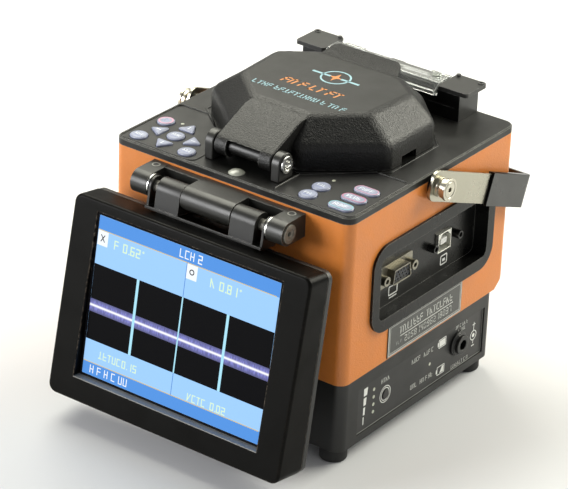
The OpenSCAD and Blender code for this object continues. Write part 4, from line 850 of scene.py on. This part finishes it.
def make_screen():
    """The picture, in layers: two halves that each show the fibre, with bands above and below."""
    w, h = SCREEN_W, SCREEN_H
    mats = ["scr_band", "scr_sky", "scr_black", "scr_bar", "scr_line", "scr_orange",
            "scr_digit", "scr_white", "scr_fiber"]
    band, sky, black, bar, thin, amber, digit, white, fiber = range(len(mats))
    p = Print("screen_picture", "monitor", mats, screen_place)
    top, win0, win1, low = 0.088 * h, 0.302 * h, 0.778 * h, 0.918 * h
    p.poly(round_rect(w / 2, h / 2, w, h, 0.4), sky, 0.05)
    p.rect(0.05, 0.05, w - 0.05, top, band, 0.08)
    p.rect(0.05, low, w - 0.05, h - 0.05, band, 0.08)
    rng = random.Random(4)
    for v in (top, low):
        u = 0.3
        while u < w - 1.5:
            p.rect(u, v - 0.25, u + 1.15, v + 0.25, amber, 0.11)
            u += 1.45 + 0.05 * rng.random()
    p.rect(0.05, win0, w - 0.05, win1, black, 0.08)
    p.rect(0.05, 0.5225 * h, w - 0.05, 0.6035 * h, fiber, 0.10)
    for u in (0.25, 0.75):
        p.rect(u * w - 0.8, win0, u * w + 0.8, win1, bar, 0.13)
    p.rect(w / 2 - 0.4, win0, w / 2 + 0.4, win1, bar, 0.13)
    for a, b in ((top, win0), (win1, low)):
        p.rect(w / 2 - 0.18, a, w / 2 + 0.18, b, thin, 0.11)
    for tag, u in (("cross", 0.2), ("ring", w / 2 + 0.3)):
        p.rect(u, top + 0.3, u + 6.6, top + 8.2, white, 0.12)
        x, y = u + 3.3, top + 4.2
        if tag == "cross":
            p.line([(x - 1.1, y - 1.7), (x + 1.1, y + 1.7)], 0.5, black, 0.15)
            p.line([(x + 1.1, y - 1.7), (x - 1.1, y + 1.7)], 0.5, black, 0.16)
        else:
            p.ring(x, y, 1.0, 1.55, black, 0.15, 24)
    words = Print("screen_digits", "monitor", mats,
                  lambda u, v, r: screen_place(u, -v, r), 0.13)
    words.glyphs(11.4, 14.6, -top - 7.4, 4.2, 2, digit, 0.13)
    words.digits("0.62o", 17.2, -top - 7.4, 4.2, digit, 0.6)
    words.glyphs(w / 2 + 15.8, w / 2 + 19.2, -top - 7.8, 4.2, 5, digit, 0.13)
    words.digits("0.81o", w / 2 + 21.6, -top - 7.8, 4.2, digit, 0.6)
    words.glyphs(9.5, 23.6, -win1 - 8.4, 3.6, 12, digit, 0.13)
    words.digits("0.15", 25.0, -win1 - 8.4, 3.6, digit, 0.5)
    words.glyphs(w / 2 + 10.5, w / 2 + 24.2, -low + 0.9, 3.6, 13, digit, 0.13)
    words.digits("0.02", w / 2 + 25.2, -low + 0.9, 3.6, digit, 0.5)
    words.glyphs(w / 2 - 5.0, w / 2 + 5.2, -top + 1.8, 4.0, 14, white, 0.13)
    words.digits("2", w / 2 + 6.8, -top + 1.8, 4.0, white, 0.6)
    words.glyphs(5.0, 30.0, -h + 1.7, 3.8, 15, white, 0.13)
    words.done(MON)
    p.done(MON)


# ---- Hinge ----

SET_SCREW_X, SET_SCREW_Y = 43, -5
PIN_DARK = 17.5


def make_hinge():
    """The monitor's and the hood's hinge parts, and over each upright hinge screw a light ring, a
    painted highlight of its hole's bevelled rim, round a black disc, the sunk screw with painted
    shade in its hole.
    """
    skin("hinge_bracket", "bracket", 0.5, 3)
    skin("hinge_screws", "dark_steel", 0.15)
    skin("hinge_pins", "nickel_shaded", 0.3, 2)
    skin("hinge_washers", "steel", 0.1, 1)
    skin("hood_posts", "bracket", 0.7, 3)
    pin = skin("hood_pin", "steel", 0.3, 2)
    second_finish(pin, "black", lambda f: abs(f.center.x) < PIN_DARK * MM)
    p = Print("hinge_screw_rim_highlights", "chassis", ["screw_rim_highlight", "black"], on_top(HINGE_TOP), 0.2)
    # Each screw gets a black disc, the dark screw with its hole's painted shade, and a light ring as
    # a painted highlight on the hole's rim.
    for x in (-SET_SCREW_X, SET_SCREW_X):
        p.disc(x, SET_SCREW_Y, 2.4, 1, 0.05)
        p.ring(x, SET_SCREW_Y, 1.65, 2.3)
    obj = p.done()


# ---- Hood ----

HOOD_FOOT = [(-22, 27.5), (22, 27.5), (57.5, 58), (57.5, 98.5), (34, 122), (-34, 122),
             (-57.5, 98.5), (-57.5, 58)]
HOOD_CROWN = [(-18, 42), (18, 42), (40.5, 63), (43.2, 97.5), (26, 111), (-26, 111),
              (-43.2, 97.5), (-40.5, 63)]
HOOD_Y, HOOD_Z = 15.5, Z_TOP + 8.5
HOOD_LIFT, HOOD_SKIRT, HOOD_H, HOOD_WALL = 0.3, 13, 25.5, 2.0
CROWN_Z = Z_TOP + HOOD_H
FIBRE_SLOT, FIBRE_SLOT_H = (68.7, 81.9), 4.4
NECK_HALF, NECK_GAP_HALF = 17.9, 10.4
TAB_Y, TAB_LONG, TAB_THICK = 107.6, 11.6, 1.9


def baked(obj):
    """obj with its modifiers applied."""
    dg = bpy.context.evaluated_depsgraph_get()
    mesh = bpy.data.meshes.new_from_object(obj.evaluated_get(dg))
    obj.modifiers.clear()
    obj.data = mesh
    return obj


def loose(name, bm, mats=()):
    mesh = bpy.data.meshes.new(name)
    bm.to_mesh(mesh)
    bm.free()
    obj = bpy.data.objects.new(name, mesh)
    bpy.context.scene.collection.objects.link(obj)
    for key in mats:
        mesh.materials.append(M[key])
    return obj


def cut(obj, *boxes):
    """Takes boxes, given as corner pairs in millimetres, out of obj."""
    for lo, hi in boxes:
        bm = bmesh.new()
        prism(bm, [(lo[0], lo[1]), (hi[0], lo[1]), (hi[0], hi[1]), (lo[0], hi[1])],
              at, lo[2], hi[2])
        tool = loose("tool", bm)
        step = obj.modifiers.new("cut", "BOOLEAN")
        step.object, step.operation, step.solver = tool, "DIFFERENCE", "EXACT"
        bpy.context.view_layer.update()
        baked(obj)
        bpy.data.objects.remove(tool)


def hood_shell():
    """The eight-sided shell: an upright skirt under facets that lean in to the flat crown."""
    bm = bmesh.new()
    levels = ((HOOD_FOOT, Z_TOP + HOOD_LIFT), (HOOD_FOOT, Z_TOP + HOOD_SKIRT),
              (HOOD_CROWN, CROWN_Z))
    rings = [[bm.verts.new(at(x, y, z)) for x, y in ring] for ring, z in levels]
    loop_faces(bm, rings)
    bm.faces.new(rings[2])
    bmesh.ops.recalc_face_normals(bm, faces=bm.faces)
    bevel(bm, 3.0, 5, 12)
    obj = loose("hood_shell", bm)
    wall = obj.modifiers.new("wall", "SOLIDIFY")
    wall.thickness, wall.offset, wall.use_even_offset = HOOD_WALL * MM, -1, True
    bpy.context.view_layer.update()
    baked(obj)
    cut(obj, ((-70, FIBRE_SLOT[0], Z_TOP - 2), (70, FIBRE_SLOT[1], Z_TOP + FIBRE_SLOT_H)))
    mesh = obj.data
    mesh.materials.clear()
    for key in ("hood", "crown"):
        mesh.materials.append(M[key])
    for f in mesh.polygons:
        flat_top = f.normal.z > 0.98 and f.center.z > (CROWN_Z - 0.3) * MM
        f.material_index = 1 if flat_top else 0
    shade(mesh, 40)
    obj.modifiers.new("even", "WEIGHTED_NORMAL").keep_sharp = True
    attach(obj, "hood")
    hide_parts("hood")


def hood_neck():
    """The block that runs from the hood's pin up to the crown, open in the middle of the pin."""
    bm = bmesh.new()
    side = (arc(HOOD_Y, HOOD_Z, 6.0, 262, 108, 16)
            + [(HOOD_Y + 19.0, CROWN_Z - 1.9), (HOOD_Y + 26.6, CROWN_Z - 1.0),
               (HOOD_Y + 31, CROWN_Z - 1.0), (HOOD_Y + 31, CROWN_Z - 4), (HOOD_Y + 22, Z_TOP + 11),
               (HOOD_Y + 15, Z_TOP + 3.2), (HOOD_Y + 11, Z_TOP + 3.2)])
    prism(bm, side, lambda u, v, h: at(h, u, v), -NECK_HALF, NECK_HALF)
    bmesh.ops.recalc_face_normals(bm, faces=bm.faces)
    bevel(bm, 0.8, 3, 40)
    obj = loose("hood_neck", bm, ["hood"])
    gap, front = NECK_GAP_HALF, HOOD_Y - 10
    cut(obj, ((-gap, front, HOOD_Z - 7), (gap, HOOD_Y - 2, HOOD_Z + 4.5)),
        ((-gap, front, HOOD_Z - 9), (gap, HOOD_Y + 4.4, HOOD_Z + 1.5)))
    shade(obj.data, 36)
    obj.modifiers.new("even", "WEIGHTED_NORMAL").keep_sharp = True
    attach(obj, "hood")


def grid_rim(grid):
    """The vertices round the outside of a grid of rows."""
    right, left = [row[-1] for row in grid[1:-1]], [row[0] for row in grid[1:-1]]
    return grid[0] + right + grid[-1][::-1] + left[::-1]


def hood_tab():
    """The finger tab: a curved flap with round corners that rises off the crown's back edge."""
    bm = bmesh.new()
    steps, across = 8, 20
    rows = []
    for side in (0, 1):
        for k in range(steps + 1):
            t = k / steps
            y = TAB_Y + TAB_LONG * t
            z = CROWN_Z - 0.9 + 4.6 * t ** 1.3 - (TAB_THICK if side else 0)
            pull = max(0.0, t - 0.72) / 0.28
            half = 25.4 - 4.0 * t - 2.6 * (1 - math.sqrt(max(0.0, 1 - pull * pull)))
            rows.append([bm.verts.new(at(half * (2 * n / across - 1), y, z))
                         for n in range(across + 1)])
    top, low = rows[:steps + 1], rows[steps + 1:]
    loop_faces(bm, top, False)
    loop_faces(bm, low[::-1], False)
    loop_faces(bm, [grid_rim(top), grid_rim(low)])
    bmesh.ops.recalc_face_normals(bm, faces=bm.faces)
    bevel(bm, 0.5, 3, 50)
    obj = finish_mesh("hood_tab", bm, ["tab"], "hood", None, 40)


def make_hood():
    hood_shell()
    hood_neck()
    hood_tab()
    p = Print("crown_print", "hood", ["print_cyan", "print_orange"], on_top(CROWN_Z), 0.05)
    u, v = 1.5, 87.5
    p.ring(u, v, 7.4, 8.4, 0, None, 48)
    p.line([(u - 14, v), (u - 4.1, v)], 1.6)
    p.line([(u + 4.1, v), (u + 14, v)], 1.6)
    p.poly([(u, v + 4.9), (u - 1.1, v + 1.1), (u - 3.7, v), (u - 1.1, v - 1.1), (u, v - 4.9),
            (u + 1.1, v - 1.1), (u + 3.7, v), (u + 1.1, v + 1.1)], 1, 0.08)
    p.glyphs(-18.5, 20.0, 66.6, 5.2, 31, 1, 0.2, 0.16)
    p.glyphs(-29.0, 29.0, 55.4, 3.7, 32, 0, 0.17)
    p.done()


# ---- Splicing stage and heater ----

def make_stage():
    skin("stage_block", "alloy", 0.3, 2)
    skin("v_grooves", "ceramic", 0.1, 1)
    paint("electrodes", "steel")
    paint("lenses", "black")
    for node in ("fiber_clamp_left", "fiber_clamp_right"):
        skin(node, "clamp", 0.25, 2)


def make_heater():
    """The tube heater, with a cloudy boss near the right end of its clear lid."""
    skin("heater_base", "black", 0.35, 2)
    skin("heater_lid", "clear", 0.3, 2)
    lo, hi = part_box("heater_lid")
    centre = Vector((hi.x - 6.0 * MM, (lo.y + hi.y) / 2, hi.z))
    bm = bmesh.new()
    lathe(bm, [(2.6, -0.05), (2.6, 0.7), (2.3, 1.0), (0.8, 1.0), (0.5, 0.6)],
          lambda u, v, h: centre + Vector((u, v, h)) * MM, 32)
    obj = finish_mesh("heater_lid_boss", bm, ["clear_white"], BODY_OF["heater_lid"])
    for node in ("heater_clamp_left", "heater_clamp_right"):
        skin(node, "clamp", 0.45, 3)
    paint("heater_pin", "steel")


# ---- Handle ----

def make_handle():
    skin("handle_strap", "nickel", 0.3, 2)
    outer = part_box("handle_grip")[1].x - 1.5 * MM

    def outer_side(e):
        """The edges round the grip's two outer side faces."""
        return min(abs(v.co.x) for v in e.verts) > outer

    def is_rounding(f):
        return abs(f.normal.x) < 0.97 and abs(f.center.x) > outer - 0.6 * MM

    grip = skin("handle_grip", "gloss_black", 0.7, 3, rules=[(outer_side, 1.7, 5)])
    # The rounded rim gets the dull copy of the black: painted shade.
    second_finish(grip, "grip_rim_shade", is_rounding)
    skin("handle_bolts", "nickel_turned", 0.35, 3)
    paint("handle_washers", "black")


def make_floor():
    """A wide pale slab under the feet."""
    bm = bmesh.new()
    prism(bm, [(-4, -4), (4, -4), (4, 4), (-4, 4)], lambda u, v, h: Vector((u, v, h)), -0.02, 0)
    bmesh.ops.recalc_face_normals(bm, faces=bm.faces)
    obj = loose("floor", bm)
    n = Nodes("floor_pale")
    soft = n.noise(60, 2.0)
    n.link(n.mix(soft, (0.735, 0.743, 0.765), (0.755, 0.763, 0.785)), n.shader.inputs["Base Color"])
    n.shader.inputs["Roughness"].default_value = 0.9
    obj.data.materials.append(n.mat)


make_camera()
make_floor()
make_lights()
make_base()
make_panel_print()
make_bay()
make_plate()
make_deck()
make_keys()
make_monitor()
make_hinge()
make_hood()
make_stage()
make_heater()
make_handle()
